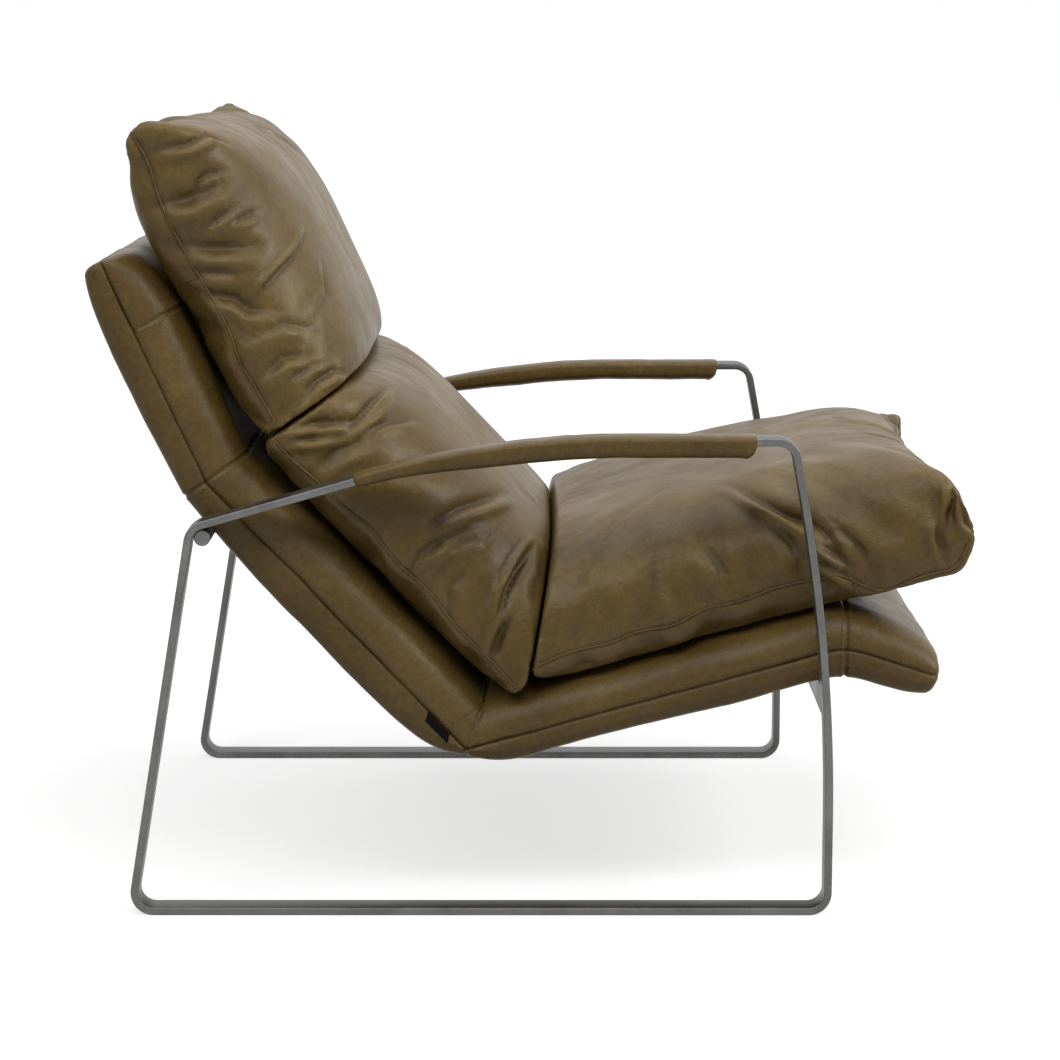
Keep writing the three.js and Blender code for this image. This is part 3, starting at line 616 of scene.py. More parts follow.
front_foot = np.array([-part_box("right_side_frame")[0].y, 0.0])
rear_foot = front_foot - np.array([BASE_LENGTH, 0])
rear_top = rear_foot + np.array([REAR_ARM_HEIGHT * math.tan(math.radians(REAR_LEG_LEAN)), REAR_ARM_HEIGHT])
front_top = front_foot + np.array([-FRONT_TOP_SETBACK, ARM_HEIGHT])
arm_slope = heading(ARM_ANGLE)
arm_knee = meet(rear_top, arm_slope, front_top, np.array([1.0, 0]))
leg_knee = meet(front_top, heading(-90 + FRONT_LEG_LEAN), front_foot, heading(-90))


def rounded_corners():
    """Corners of the loop with the round bends that fit between their neighbours."""
    corners = [
        (rear_foot, CORNER_RADIUS), (front_foot, CORNER_RADIUS), (leg_knee, LEG_BOW_RADIUS),
        (front_top, CORNER_RADIUS), (arm_knee, ARM_SWEEP_RADIUS), (rear_top, CORNER_RADIUS),
    ]
    bends = []
    for k, (at, radius) in enumerate(corners):
        inward = unit(at - corners[k - 1][0])
        outward = unit(corners[(k + 1) % len(corners)][0] - at)
        turn = math.acos(np.clip(inward @ outward, -1, 1))
        bends.append({"at": at, "radius": radius, "inward": inward, "turn": turn, "used": 0.0, "k": k})
    for bend in sorted(bends, key=lambda b: b["radius"] * math.tan(b["turn"] / 2)):
        slope = math.tan(bend["turn"] / 2)
        room = min(
            np.linalg.norm(bend["at"] - other["at"]) - other["used"]
            for other in (bends[bend["k"] - 1], bends[(bend["k"] + 1) % len(bends)])
        )
        bend["used"] = min(bend["radius"] * slope, room - 2 * BAR_EDGE)
        bend["radius"] = bend["used"] / slope
        start = bend["at"] - bend["inward"] * bend["used"]
        bend["centre"] = start + left_of(bend["inward"]) * bend["radius"]
    return bends


loop_bends = rounded_corners()
arm_bend = next(bend for bend in loop_bends if bend["at"] is arm_knee)


def loop_line():
    """Outer outline of the loop with the direction towards its inside."""
    line = []
    for bend in loop_bends:
        steps = BEND_STEPS if bend["radius"] < 2 * CORNER_RADIUS else SWEEP_STEPS
        start = -left_of(bend["inward"])
        first = math.atan2(start[1], start[0])
        for angle in np.linspace(first, first + bend["turn"], steps + 1):
            outward = np.array([math.cos(angle), math.sin(angle)])
            line.append((bend["centre"] + outward * bend["radius"], -outward))
    return line


def bar_section(width, thickness, edge):
    """Rounded rectangle as (across, depth), from the outer face inwards."""
    section = []
    corners = [(1, 0, 0), (1, 1, 90), (-1, 1, 180), (-1, 0, 270)]
    for side, deep, first in corners:
        centre = (side * (width / 2 - edge), thickness - edge if deep else edge)
        for k in range(EDGE_STEPS + 1):
            angle = math.radians(first - 90 + 90 * k / EDGE_STEPS)
            section.append((centre[0] + edge * math.cos(angle), centre[1] + edge * math.sin(angle)))
    return section


def add_loop(hand):
    x = across_of(f"{hand}_side_frame")
    section = bar_section(BAR_WIDTH, BAR_THICKNESS, BAR_EDGE)
    line = loop_line()
    points = [
        space(x + across, outer + inward * depth) for outer, inward in line for across, depth in section
    ]
    faces = ring_faces(len(line), len(section), closed=True)
    return add_mesh(f"{hand}_loop", points, faces, steel, [f"{hand}_side_frame"])


hands = {"right": -1, "left": 1}
for hand in hands:
    add_loop(hand)


def add_rod():
    low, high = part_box("rear_cross_rod")
    centre = middle_of("rear_cross_rod")
    radius = (high.z - low.z) / 2
    stations = [
        (low.x, radius - ROD_CHAMFER), (low.x + ROD_CHAMFER, radius),
        (high.x - ROD_CHAMFER, radius), (high.x, radius - ROD_CHAMFER),
    ]
    points = [
        space(x, centre + r * heading(360 * k / ROD_SIDES)) for x, r in stations for k in range(ROD_SIDES)
    ]
    faces = ring_faces(len(stations), ROD_SIDES)
    rod = add_mesh("rod", points, faces, steel, ["rear_cross_rod"])
    rod.data.polygons.foreach_set("use_smooth", [len(p.vertices) == 4 for p in rod.data.polygons])
    return rod


add_rod()


# Shell lines

rod_centre = middle_of("rear_cross_rod")
rod_radius = (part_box("rear_cross_rod")[1].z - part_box("rear_cross_rod")[0].z) / 2
bar_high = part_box("front_cross_bar")[1]
lower_way = heading(LOWER_BACK_LEAN - 90)
lower_face = left_of(lower_way)
upper_way = heading(UPPER_BACK_LEAN - 90)
bend_corner = rod_centre + lower_face * (rod_radius + TOUCH_GAP) - lower_way * BEND_ABOVE_ROD
top_corner = bend_corner - upper_way * UPPER_BACK_LENGTH
crease_corner = bend_corner + lower_way * LOWER_BACK_LENGTH
seat_touch = np.array([-bar_high.y, bar_high.z - TOUCH_GAP])
seat_way = unit(seat_touch - crease_corner)
seat_face = left_of(seat_way)
lip_corner = seat_touch + seat_way * LIP_START
lip_end = lip_corner + heading(-LIP_ANGLE) * LIP_LENGTH
rear_line = [top_corner, bend_corner, crease_corner, lip_corner, lip_end]
UPPER, LOWER, SEAT, LIP = range(4)
shell_ways = [unit(b - a) for a, b in zip(rear_line, rear_line[1:])]
shell_faces = [left_of(way) for way in shell_ways]
shell_lengths = [np.linalg.norm(b - a) for a, b in zip(rear_line, rear_line[1:])]
shell_starts = np.concatenate([[0], np.cumsum(shell_lengths)])
top_at, bend_at, crease_at, lip_at, end_at = shell_starts


def offset_line(offsets):
    """The rear line moved forward, with mitred corners."""
    edges = [rear_line[k] + shell_faces[k] * offsets[k] for k in range(len(shell_ways))]
    line = [edges[0]]
    for k in range(1, len(shell_ways)):
        line.append(meet(edges[k - 1], shell_ways[k - 1], edges[k], shell_ways[k]))
    line.append(lip_end + shell_faces[-1] * offsets[-1])
    return line


seam_line = offset_line([REAR_BAND] * 4)
front_line = offset_line([BACK_THICKNESS, BACK_THICKNESS, SEAT_THICKNESS, SEAT_THICKNESS])


def round_corner(k, radius):
    slope = math.tan(math.acos(np.clip(shell_ways[k - 1] @ shell_ways[k], -1, 1)) / 2)
    return {"at": shell_starts[k], "reach": radius * slope, "radius": radius}


crease_round = round_corner(SEAT, CREASE_RADIUS)
lip_round = round_corner(LIP, LIP_RADIUS)


def corner_depth(corner, at):
    rest = max(corner["reach"] - abs(at - corner["at"]), 0)
    return corner["radius"] - math.sqrt(corner["radius"] ** 2 - rest ** 2)


def end_rounding(distance, reach):
    rest = min(max((reach - distance) / reach, 0), 1)
    return 1 - math.sqrt(1 - rest * rest)


REAR, SEAM, FRONT = range(3)


def shell_station(at):
    """Rear face, side seam and front face of the shell at a distance along its rear line."""
    k = int(np.clip(np.searchsorted(shell_starts, at, side="right") - 1, 0, len(shell_ways) - 1))
    share = (at - shell_starts[k]) / shell_lengths[k]
    rear = rear_line[k] + shell_ways[k] * share * shell_lengths[k]
    seam = seam_line[k] + (seam_line[k + 1] - seam_line[k]) * share
    front = front_line[k] + (front_line[k + 1] - front_line[k]) * share
    face = unit(front - rear)
    dip = corner_depth(lip_round, at)
    from_top, from_end = at - top_at, end_at - at
    top_fall = (BACK_THICKNESS - END_REAR_ROUNDING - TOP_END_THICKNESS) * end_rounding(from_top, TOP_TAPER)
    lip_fall = (SEAT_THICKNESS - END_REAR_ROUNDING - LIP_END_THICKNESS) * end_rounding(from_end, LIP_TAPER)
    rear_rise = end_rounding(from_top, REAR_TAPER) + end_rounding(from_end, REAR_TAPER)
    sag = (UPPER_SAG, LOWER_SAG, 0, 0)[k] * math.sin(math.pi * share)
    hollow = SEAT_HOLLOW * math.sin(math.pi * min(share / SEAT_HOLLOW_SHARE, 1)) if k == SEAT else 0.0
    depth = corner_depth(crease_round, at) - dip + END_REAR_ROUNDING * rear_rise - sag + hollow
    rear = rear + face * depth
    front = front - face * (dip + top_fall + lip_fall)
    return rear, seam - face * dip, front


def shell_wall(at, target):
    """Side seam at a station, the way from it to the rear or front face, and the distance."""
    station = shell_station(at)
    wall = station[target] - station[SEAM]
    return station[SEAM], unit(wall), np.linalg.norm(wall)


# Shell leather

def bell(distance, width):
    return np.exp(-(distance / width) ** 2)


def shell_inset(at, seams):
    """How far the section draws in at a sewn cross seam and at the rounded ends."""
    ends = end_rounding(at - top_at, END_EDGE) + end_rounding(end_at - at, END_EDGE)
    return END_EDGE * ends + sum(CROSS_SEAM * bell(at - seam, CROSS_SEAM_WIDTH) for seam in seams)


def front_outline(height, half):
    """Side seam, rolled edge and half the front face, as (across, up from the seam)."""
    turn = np.linspace(0, math.pi / 2, ROLL_POINTS)
    roll = 2 / ROLL_POWER
    across = half - ROLL_WIDTH + ROLL_WIDTH * np.cos(turn) ** roll + ROLL_BULGE * np.sin(2 * turn)
    up = height * np.sin(turn) ** roll
    across = across - SEAM_GROOVE * bell(up, SEAM_GROOVE_WIDTH)
    flat = np.linspace(across[-1], 0, FLAT_POINTS)[1:]
    return np.concatenate([across, flat]), np.concatenate([up, np.full(len(flat), height)])


def rear_outline(depth, half):
    """Side seam, band, rear edge and half the rear face, as (across, down from the seam)."""
    edge = min(REAR_EDGE, depth * REAR_EDGE_SHARE)
    wall = np.linspace(0, depth - edge, BAND_POINTS)[:-1]
    bulge = ROLL_BULGE * np.sin(math.pi * wall / depth)
    turn = np.linspace(0, math.pi / 2, REAR_EDGE_POINTS)
    across = np.concatenate([half + bulge, half - edge + edge * np.cos(turn)])
    down = np.concatenate([wall, depth - edge + edge * np.sin(turn)])
    across = across - SEAM_GROOVE * bell(down, SEAM_GROOVE_WIDTH)
    flat = np.linspace(across[-1], 0, FLAT_POINTS)[1:]
    return np.concatenate([across, flat]), np.concatenate([down, np.full(len(flat), depth)])


def shell_places(seams):
    """Stations along the shell, closer together at the cross seams and at both ends."""
    regular = np.arange(top_at, end_at, SHELL_STEP)
    close = [seam + step for seam in seams for step in SEAM_RINGS]
    near_ends = [end + side * step for end, side in ((top_at, 1), (end_at, -1)) for step in END_RINGS]
    places = np.array(sorted([*regular, *close, *near_ends]))
    return places[np.concatenate([[True], np.diff(places) > LEAST_RING_STEP])]


def add_shell_half(name, outline, target, seams, material, replaced):
    """One leather skin of the shell: a loft of its sections, closed along the seam and at both ends."""
    rings = []
    for at in shell_places(seams):
        seam, way, reach = shell_wall(at, target)
        inset = shell_inset(at, seams)
        across, height = outline(max(reach - inset, LEAST_WALL), SHELL_HALF - inset)
        right = [space(-x, seam + way * h) for x, h in zip(across, height)]
        left = [space(x, seam + way * h) for x, h in zip(across[-2::-1], height[-2::-1])]
        rings.append(right + left)
    count = len(rings[0])
    return add_mesh(name, sum(rings, []), ring_faces(len(rings), count), material, replaced)


def fix_normals(piece):
    """Turns the faces outward."""
    mesh = piece.data
    volume = 0.0
    for polygon in mesh.polygons:
        volume += polygon.area * Vector(polygon.normal).dot(polygon.center)
    if volume < 0:
        mesh.flip_normals()


def rows_of(items, key, width, kind=float):
    """One row of numbers for each of a mesh's vertices or edges."""
    flat = np.empty(width * len(items), kind)
    items.foreach_get(key, flat)
    return flat.reshape(-1, width)


def positions_of(mesh):
    return rows_of(mesh.vertices, "co", 3)


def normals_of(mesh):
    return rows_of(mesh.vertex_normals, "vector", 3)


def set_positions(mesh, points):
    mesh.vertices.foreach_set("co", np.ascontiguousarray(points).ravel())
    mesh.update()


def edge_pairs(mesh):
    return rows_of(mesh.edges, "vertices", 2, int)


def smoothed(values, pairs, rounds):
    """Values spread evenly over neighbouring vertices."""
    count = len(values)
    degree = np.bincount(pairs.ravel(), minlength=count)[:, None]
    for _ in range(rounds):
        total = np.stack([
            np.bincount(pairs[:, 0], values[pairs[:, 1], k], count)
            + np.bincount(pairs[:, 1], values[pairs[:, 0], k], count)
            for k in range(values.shape[1])
        ], 1)
        values = 0.5 * values + 0.5 * total / degree
    return values


def mark_painted_fold_shade(piece):
    """Keeps the height of ridges and depth of valleys, from -1 to 1, for the painted highlight on ridges and
    the painted shade in valleys of the leather.
    """
    mesh = piece.data
    points, pairs = positions_of(mesh), edge_pairs(mesh)
    height = ((points - smoothed(points, pairs, RELIEF_ROUNDS)) * normals_of(mesh)).sum(1)
    broad = smoothed(height[:, None], pairs, RELIEF_BROAD_ROUNDS)[:, 0]
    fine = smoothed((height - broad)[:, None], pairs, RELIEF_FINE_ROUNDS)[:, 0]
    relief = mesh.attributes.new("relief", "FLOAT", "POINT")
    relief.data.foreach_set("value", np.clip(fine / RELIEF_DEPTH, -1, 1))


def cloudy(points, scale, seed):
    shift = Vector([seed * step for step in NOISE_SHIFT])
    return np.array([noise.noise(Vector(p) * scale + shift) for p in points])


def soften(piece, amount, scale, seed):
    """Slight unevenness of padded leather."""
    mesh = piece.data
    points = positions_of(mesh)
    fine = cloudy(points, FINE_UNEVEN_SCALE * scale, seed + 1)
    lift = amount * cloudy(points, scale, seed) + FINE_UNEVEN_SHARE * amount * fine
    set_positions(mesh, points + normals_of(mesh) * lift[:, None])


top_seam_at = top_at + TOP_TAPER
front_seams = [top_seam_at, bend_at, crease_at, lip_at]
rear_seams = [bend_at, crease_at, lip_at]
shell_front = add_shell_half(
    "shell_front_leather", front_outline, FRONT, front_seams, hide,
    ["shell_top_panel", "shell_upper_back_panel", "shell_lower_back_panel", "shell_seat_panel",
     "shell_lip_panel", "back_foam", "seat_foam"],
)
# The rear leather takes the darker copy of hide: painted shade on the same leather
shell_rear = add_shell_half(
    "shell_rear_leather", rear_outline, REAR, rear_seams, hide_shade,
    ["shell_rear_upper_panel", "shell_rear_lower_panel", "shell_underside_panel",
     "shell_lip_underside_panel", "back_lining", "seat_lining"],
)
for seed, piece in enumerate((shell_front, shell_rear)):
    fix_normals(piece)
    soften(piece, SHELL_UNEVEN, SHELL_UNEVEN_SCALE, SHELL_SEED + seed)


def surface_of(piece):
    return BVHTree.FromObject(piece, bpy.context.evaluated_depsgraph_get())


def laid_on(surface, points, proud):
    """Points moved onto a surface, or a little above it."""
    laid = []
    for point in points:
        spot, normal = surface.find_nearest(Vector(point))[:2]
        laid.append(np.array(spot + normal * proud))
    return laid


# Arm sleeves

sleeve_start = front_top[0] - rear_top[0] - SLEEVE_FRONT_GAP - SLEEVE_LENGTH


def arm_place(distance):
    """Top face of the arm bar and its upward direction at a distance ahead of the rear bend."""
    forward = rear_top[0] + distance
    arc_start = arm_knee[0] - arm_bend["used"] * arm_slope[0]
    centre, radius = arm_bend["centre"], arm_bend["radius"]
    if forward <= arc_start:
        return rear_top + arm_slope * distance / arm_slope[0], left_of(arm_slope)
    if forward >= centre[0]:
        return np.array([forward, ARM_HEIGHT]), np.array([0.0, 1.0])
    offset = forward - centre[0]
    up = np.array([offset, math.sqrt(radius ** 2 - offset ** 2)]) / radius
    return centre + up * radius, up


def pad_depth(distance):
    rise = smoothstep(distance, 0, PAD_REAR_RAMP)
    fall = 1 - end_rounding(SLEEVE_LENGTH - distance, PAD_FRONT_RAMP)
    return ARM_PAD_END + (ARM_PAD - ARM_PAD_END) * rise * fall


def sleeve_ring(x, distance):
    top, up = arm_place(sleeve_start + distance)
    high = SLEEVE_TOP
    low = -BAR_THICKNESS - pad_depth(distance) - SLEEVE_WALL
    half = BAR_WIDTH / 2 + SLEEVE_WALL
    near_end = min(distance, SLEEVE_LENGTH - distance)
    tuck = SLEEVE_END_TUCK * end_rounding(near_end, SLEEVE_END_TAPER)
    hem = SLEEVE_HEM * bell(near_end - SLEEVE_END_TAPER, SLEEVE_HEM_WIDTH)
    shrink = 1 - (tuck - hem) / half
    ring = []
    for turn in np.linspace(0, 2 * math.pi, SLEEVE_SIDES, endpoint=False):
        c, s = math.cos(turn), math.sin(turn)
        power = 2 / (SLEEVE_TOP_SQUARENESS if s > 0 else SLEEVE_LOW_SQUARENESS)
        across = half * math.copysign(abs(c) ** power, c)
        height = (high + low) / 2 + (high - low) / 2 * math.copysign(abs(s) ** power, s)
        ring.append(space(x + across * shrink, top + up * (height * shrink)))
    return ring


def add_sleeve(hand, side):
    x = across_of(f"{hand}_side_frame")
    front_zone = SLEEVE_LENGTH - SLEEVE_END_ZONE
    places = np.concatenate([
        np.linspace(0, SLEEVE_END_ZONE, SLEEVE_END_RINGS),
        np.linspace(SLEEVE_END_ZONE, front_zone, SLEEVE_MIDDLE_RINGS)[1:-1],
        np.linspace(front_zone, SLEEVE_LENGTH, SLEEVE_END_RINGS),
    ])
    rings = [sleeve_ring(x, distance) for distance in places]
    sleeve = add_mesh(
        f"{hand}_sleeve", sum(rings, []), ring_faces(len(rings), SLEEVE_SIDES), hide,
        [f"{hand}_arm_sleeve", f"{hand}_arm_pad"],
    )
    fix_normals(sleeve)
    soften(sleeve, SLEEVE_UNEVEN, SLEEVE_UNEVEN_SCALE, SLEEVE_SEED + side)
    return sleeve


for hand, side in hands.items():
    add_sleeve(hand, side)


# Cushions

def fullness(share, power, root):
    """Height of a stuffed section, from 1 in its middle to 0 at its seam."""
    return np.maximum(1 - np.abs(share) ** power, 0) ** (1 / root)


def soft_lesser(a, b):
    """The lesser of two fullnesses, with a soft edge where they meet."""
    a, b = np.broadcast_arrays(a, b)
    inside = (a > 0) & (b > 0)
    a, b = np.where(inside, a, 1), np.where(inside, b, 1)
    return np.where(inside, (a ** -EDGE_SHARPNESS + b ** -EDGE_SHARPNESS - 1) ** (-1 / EDGE_SHARPNESS), 0)


GENTLE = (2.4, 2)
FIRM = (6, 4)
ROUND = (2.2, 1.5)
upper_back_way, lower_back_way = shell_ways[UPPER], shell_ways[LOWER]
upper_back_face, lower_back_face = shell_faces[UPPER], shell_faces[LOWER]
bend_front, crease_front = front_line[LOWER], front_line[SEAT]
channel_foot = bend_front - upper_back_way * CHANNEL_ABOVE_BEND
channel_way = unit(upper_back_face + lower_back_face)
valley_foot = crease_front + seat_way * VALLEY_AHEAD
crease_bisector = lower_back_face + seat_face
valley_way = heading(math.degrees(math.atan2(crease_bisector[1], crease_bisector[0])) + VALLEY_ANGLE)
channel_normal = left_of(channel_way)
valley_normal = left_of(valley_way)

lumbar_low = crease_front + lower_back_way * LUMBAR_OVERHANG + lower_back_face * LUMBAR_BAND
lumbar_short = CHANNEL_ABOVE_BEND + CHANNEL_SQUEEZE
lumbar_high = bend_front + lower_back_face * LUMBAR_BAND - lower_back_way * lumbar_short
seat_low = valley_foot + seat_face * SEAT_BAND_REAR
seat_high = valley_foot + seat_way * SEAT_LENGTH + seat_face * SEAT_BAND_FRONT
seat_plane_way = unit(seat_high - seat_low)

# Pairs are the power and the root of a section's fullness, at its ends and across its sides
PLAIN_CUSHION = {
    "crown": 0.0, "seam_dip": 0.0, "high_pull": CUSHION_PULL, "ears": (0, 0),
    "far_lift": 0.0, "far_droop": 0.0, "far_sink": 0.0,
}
cushions = {
    "head": {
        **PLAIN_CUSHION, "way": -upper_back_way, "face": upper_back_face,
        "low": channel_foot + upper_back_face * HEAD_BAND + upper_back_way * CHANNEL_SQUEEZE,
        "length": HEAD_LENGTH + CHANNEL_SQUEEZE, "rise": HEAD_RISE, "drop": HEAD_DROP,
        "low_end": FIRM, "high_end": GENTLE, "sides": (3.6, 2.4), "front_sides": (3.6, 2.4),
        "rear_low_end": ROUND, "rear_high_end": (3.0, 1.0),
        "rear_sides": (3, 2), "rear_high_sides": (7, 4),
        "high_pull": HEAD_TOP_PULL, "ears": HEAD_EARS,
        "far_lift": HEAD_FAR_LIFT, "far_droop": HEAD_FAR_DROOP,
        "planes": [
            (bend_front - upper_back_face * HEAD_OVERHANG, upper_back_face), (channel_foot, channel_normal),
        ],
    },
    "lumbar": {
        **PLAIN_CUSHION, "low": lumbar_low, "way": -lower_back_way, "face": lower_back_face,
        "length": np.linalg.norm(lumbar_high - lumbar_low), "rise": LUMBAR_RISE, "drop": LUMBAR_DROP,
        "low_end": FIRM, "high_end": (4, 2.8), "sides": (4, 2.5), "front_sides": (4, 2.5),
        "rear_low_end": ROUND, "rear_high_end": ROUND, "rear_sides": (3, 2), "rear_high_sides": (3, 2),
        "planes": [
            (bend_front, lower_back_face), (crease_front, seat_face),
            (channel_foot, -channel_normal), (valley_foot, valley_normal),
        ],
    },
    "seat": {
        **PLAIN_CUSHION, "low": seat_low, "way": seat_plane_way, "face": left_of(seat_plane_way),
        "length": SEAT_LENGTH, "rise": SEAT_RISE, "drop": SEAT_DROP,
        "low_end": (8, 5), "high_end": (9, 4.5), "sides": (4.8, 2.8), "front_sides": (7, 4),
        "rear_low_end": ROUND, "rear_high_end": (3, 1.8),
        "rear_sides": (3.4, 2.2), "rear_high_sides": (4.4, 2.8),
        "crown": SEAT_CROWN_FALL, "seam_dip": SEAT_SEAM_DIP, "high_pull": SEAT_FRONT_PULL,
        "ears": SEAT_EARS, "far_lift": SEAT_FAR_LIFT, "far_sink": SEAT_FAR_SINK,
        "planes": [(crease_front, seat_face), (valley_foot, -valley_normal)],
    },
}


def height_above(points, origin, normal):
    """Distance of points in space from a face that is drawn in the side view."""
    return (-points[:, 1] - origin[0]) * normal[0] + (points[:, 2] - origin[1]) * normal[1]


def press(points, planes):
    """Pushes points off the flat faces that the cushion lies against, with a soft edge."""
    points = points.copy()
    for origin, normal in planes:
        off = height_above(points, origin, normal) - CONTACT_GAP
        held = 0.5 * (off + np.sqrt(off ** 2 + 4 * CONTACT_SOFTNESS ** 2))
        push = np.where(off < CONTACT_REACH, held - off, 0)
        points[:, 1] -= push * normal[0]
        points[:, 2] += push * normal[1]
    return points


def contact_depth(points, planes):
    """Least distance of each point from the faces that the cushion lies against."""
    return np.min([height_above(points, *plane) for plane in planes], axis=0)


def wave(along, length, seed):
    """Smooth random curve between -1 and 1 along a line."""
    places = np.arange(0, WAVE_SPAN, length / WAVE_POINTS)
    row = seed * WAVE_SEED_STEP
    heights = [WAVE_GAIN * noise.noise(Vector((place / length, row, WAVE_ROW))) for place in places]
    return np.interp(along, places, heights)


def far_corner(amount, u, v, powers):
    """An amount that grows towards the high end and the far side."""
    return amount * np.maximum(u, 0) ** powers[0] * np.maximum(v, 0) ** powers[1]


def half_fullness(shape, prefix, sides, u, v):
    """Fullness of the front or rear half of a cushion."""
    low, high = (fullness(u, *shape[f"{prefix}{end}_end"]) for end in ("low", "high"))
    return soft_lesser(np.where(u < 0, low, high), fullness(v, *sides))


def blended(a, b, share):
    return [(1 - share) * x + share * y for x, y in zip(a, b)]


def cushion_grid(shape):
    """Domed front and shallower rear that share a seam; returns points, faces and the seam's line."""
    u = np.sin(math.pi / 2 * np.linspace(-1, 1, GRID_ROWS + 1))[:, None]
    v = np.sin(math.pi / 2 * np.linspace(-1, 1, GRID_COLUMNS + 1))[None, :]
    toward_front = smoothstep(u, FRONT_SIDES_FROM, FRONT_SIDES_TO)
    full = half_fullness(shape, "", blended(shape["sides"], shape["front_sides"], toward_front), u, v)
    toward_high = smoothstep(u, HIGH_SIDES_FROM, HIGH_SIDES_TO)
    rear_sides = blended(shape["rear_sides"], shape["rear_high_sides"], toward_high)
    rear_full = half_fullness(shape, "rear_", rear_sides, u, v)
    crown = 1 - shape["crown"] * np.maximum(u + SEAT_CROWN_CENTRE, 0) ** CROWN_POWER
    middle = shape["low"] + shape["way"] * shape["length"] / 2
    pull = np.where(u > 0, shape["high_pull"], CUSHION_PULL)
    near_ear, far_ear = shape["ears"]
    ear = np.where(v < 0, near_ear, far_ear) * np.maximum(u, 0) ** EAR_POWER * np.abs(v) ** EAR_POWER
    droop = far_corner(shape["far_droop"], u, v, DROOP_POWERS)
    s = u * (shape["length"] / 2 - pull * (1 - v * v)) + ear - droop
    x = v * (CUSHION_HALF - CUSHION_PULL * (1 - u * u)) + 0.5 * ear * np.sign(v)
    lift = far_corner(shape["far_lift"], u, v, LIFT_POWERS)
    sink = far_corner(shape["far_sink"], u, v, SINK_POWERS)
    dip = shape["seam_dip"] * smoothstep(u, DIP_FROM, DIP_TO) * (1 - smoothstep(u, DIP_END_FROM, DIP_END_TO))
    dip = dip * np.abs(v) ** DIP_POWER
    along = SEAM_SWAY_START + s + SEAM_SWAY_SLANT * x
    sway = SEAM_SWAY * wave(along, SEAM_SWAY_LENGTH, shape["length"] * 100) - dip

    def lay(height):
        forward = middle[0] + s * shape["way"][0] + height * shape["face"][0]
        up = middle[1] + s * shape["way"][1] + height * shape["face"][1]
        return np.stack([x + 0 * s, -forward, up], -1).reshape(-1, 3)

    front = lay((shape["rise"] - sink) * full * crown + (lift + sway) * (1 - full))
    rear = lay(lift - shape["drop"] * rear_full + sway * (1 - rear_full))
    wide = GRID_COLUMNS + 1
    index = np.arange((GRID_ROWS + 1) * wide).reshape(-1, wide)
    rear_index = index + len(front)
    rear_index[0], rear_index[-1] = index[0], index[-1]
    rear_index[:, 0], rear_index[:, -1] = index[:, 0], index[:, -1]
    faces = []
    for grid, flip in ((index, False), (rear_index, True)):
        for i in range(GRID_ROWS):
            for j in range(GRID_COLUMNS):
                quad = (grid[i, j], grid[i, j + 1], grid[i + 1, j + 1], grid[i + 1, j])
                faces.append(tuple(int(k) for k in (reversed(quad) if flip else quad)))
    points = press(np.concatenate([front, rear]), shape["planes"])
    rim = np.concatenate([index[0, :], index[1:, -1], index[-1, -2::-1], index[-2::-1, 0]])
    return points, faces, points[rim]


def evaluated_mesh(piece):
    graph = bpy.context.evaluated_depsgraph_get()
    return bpy.data.meshes.new_from_object(piece.evaluated_get(graph))


def take_mesh(piece, mesh):
    old = piece.data
    materials = list(old.materials)
    piece.modifiers.clear()
    piece.data = mesh
    mesh.name = piece.name
    mesh.materials.clear()
    for material in materials:
        mesh.materials.append(material)
    mesh.polygons.foreach_set("use_smooth", [True] * len(mesh.polygons))
    mesh.update()
    bpy.data.meshes.remove(old)


def nearest_on(points, line):
    """Distance of each point to the nearest of a line's points, and that point's index."""
    best = np.full(len(points), np.inf)
    which = np.zeros(len(points), int)
    for k, place in enumerate(line):
        gap = ((points - place) ** 2).sum(1)
        closer = gap < best
        best[closer] = gap[closer]
        which[closer] = k
    return np.sqrt(best), which


LEATHER_CLOTH = {
    "quality": 5, "mass": 0.25, "tension_stiffness": 12, "compression_stiffness": 12, "shear_stiffness": 8,
    "bending_stiffness": 3, "shrink_min": -0.010, "shrink_max": -0.09, "use_pressure": True,
    "uniform_pressure_force": 4, "pin_stiffness": 1,
}


def add_group(piece, name, weights):
    group = piece.vertex_groups.new(name=name)
    for k, weight in enumerate(weights):
        if weight > LEAST_WEIGHT:
            group.add([k], float(weight), "REPLACE")
    return group


def crumple(piece, seam_gap, contact):
    """Cloth with spare leather, blown up against its pinned seam, so that it puckers."""
    mesh = piece.data
    start = positions_of(mesh)
    contact_hold = smoothstep(CONTACT_HOLD - contact, 0, CONTACT_HOLD_FADE)
    hold = add_group(piece, "hold", np.maximum(bell(seam_gap, SEAM_HOLD), contact_hold))
    spare = add_group(piece, "spare", bell(seam_gap, SPARE_REACH))
    cloth = piece.modifiers.new("cloth", "CLOTH")
    settings = cloth.settings
    for key, value in LEATHER_CLOTH.items():
        setattr(settings, key, value)
    settings.vertex_group_shrink = spare.name
    settings.vertex_group_mass = hold.name
    settings.effector_weights.gravity = 0
    cloth.point_cache.frame_start = 1
    cloth.point_cache.frame_end = CLOTH_FRAMES
    for number in range(1, CLOTH_FRAMES + 1):
        scene.frame_set(number)
    made = evaluated_mesh(piece)
    moved = positions_of(made) - start
    bpy.data.meshes.remove(made)
    piece.modifiers.remove(cloth)
    piece.vertex_groups.clear()
    scene.frame_set(1)
    pairs = edge_pairs(mesh)
    detail = smoothed(moved, pairs, FINE_ROUNDS) - smoothed(moved, pairs, BROAD_ROUNDS)
    size = np.linalg.norm(detail, axis=1)[:, None]
    outward = smoothstep(np.abs(start[:, 0]) / CUSHION_HALF, CALM_FROM, CALM_TO)
    calm = CALM_MIDDLE + (1 - CALM_MIDDLE) * outward
    detail *= np.minimum(1, SWELL_LIMIT / np.maximum(size, 1e-9)) * calm[:, None]
    set_positions(mesh, start + detail)


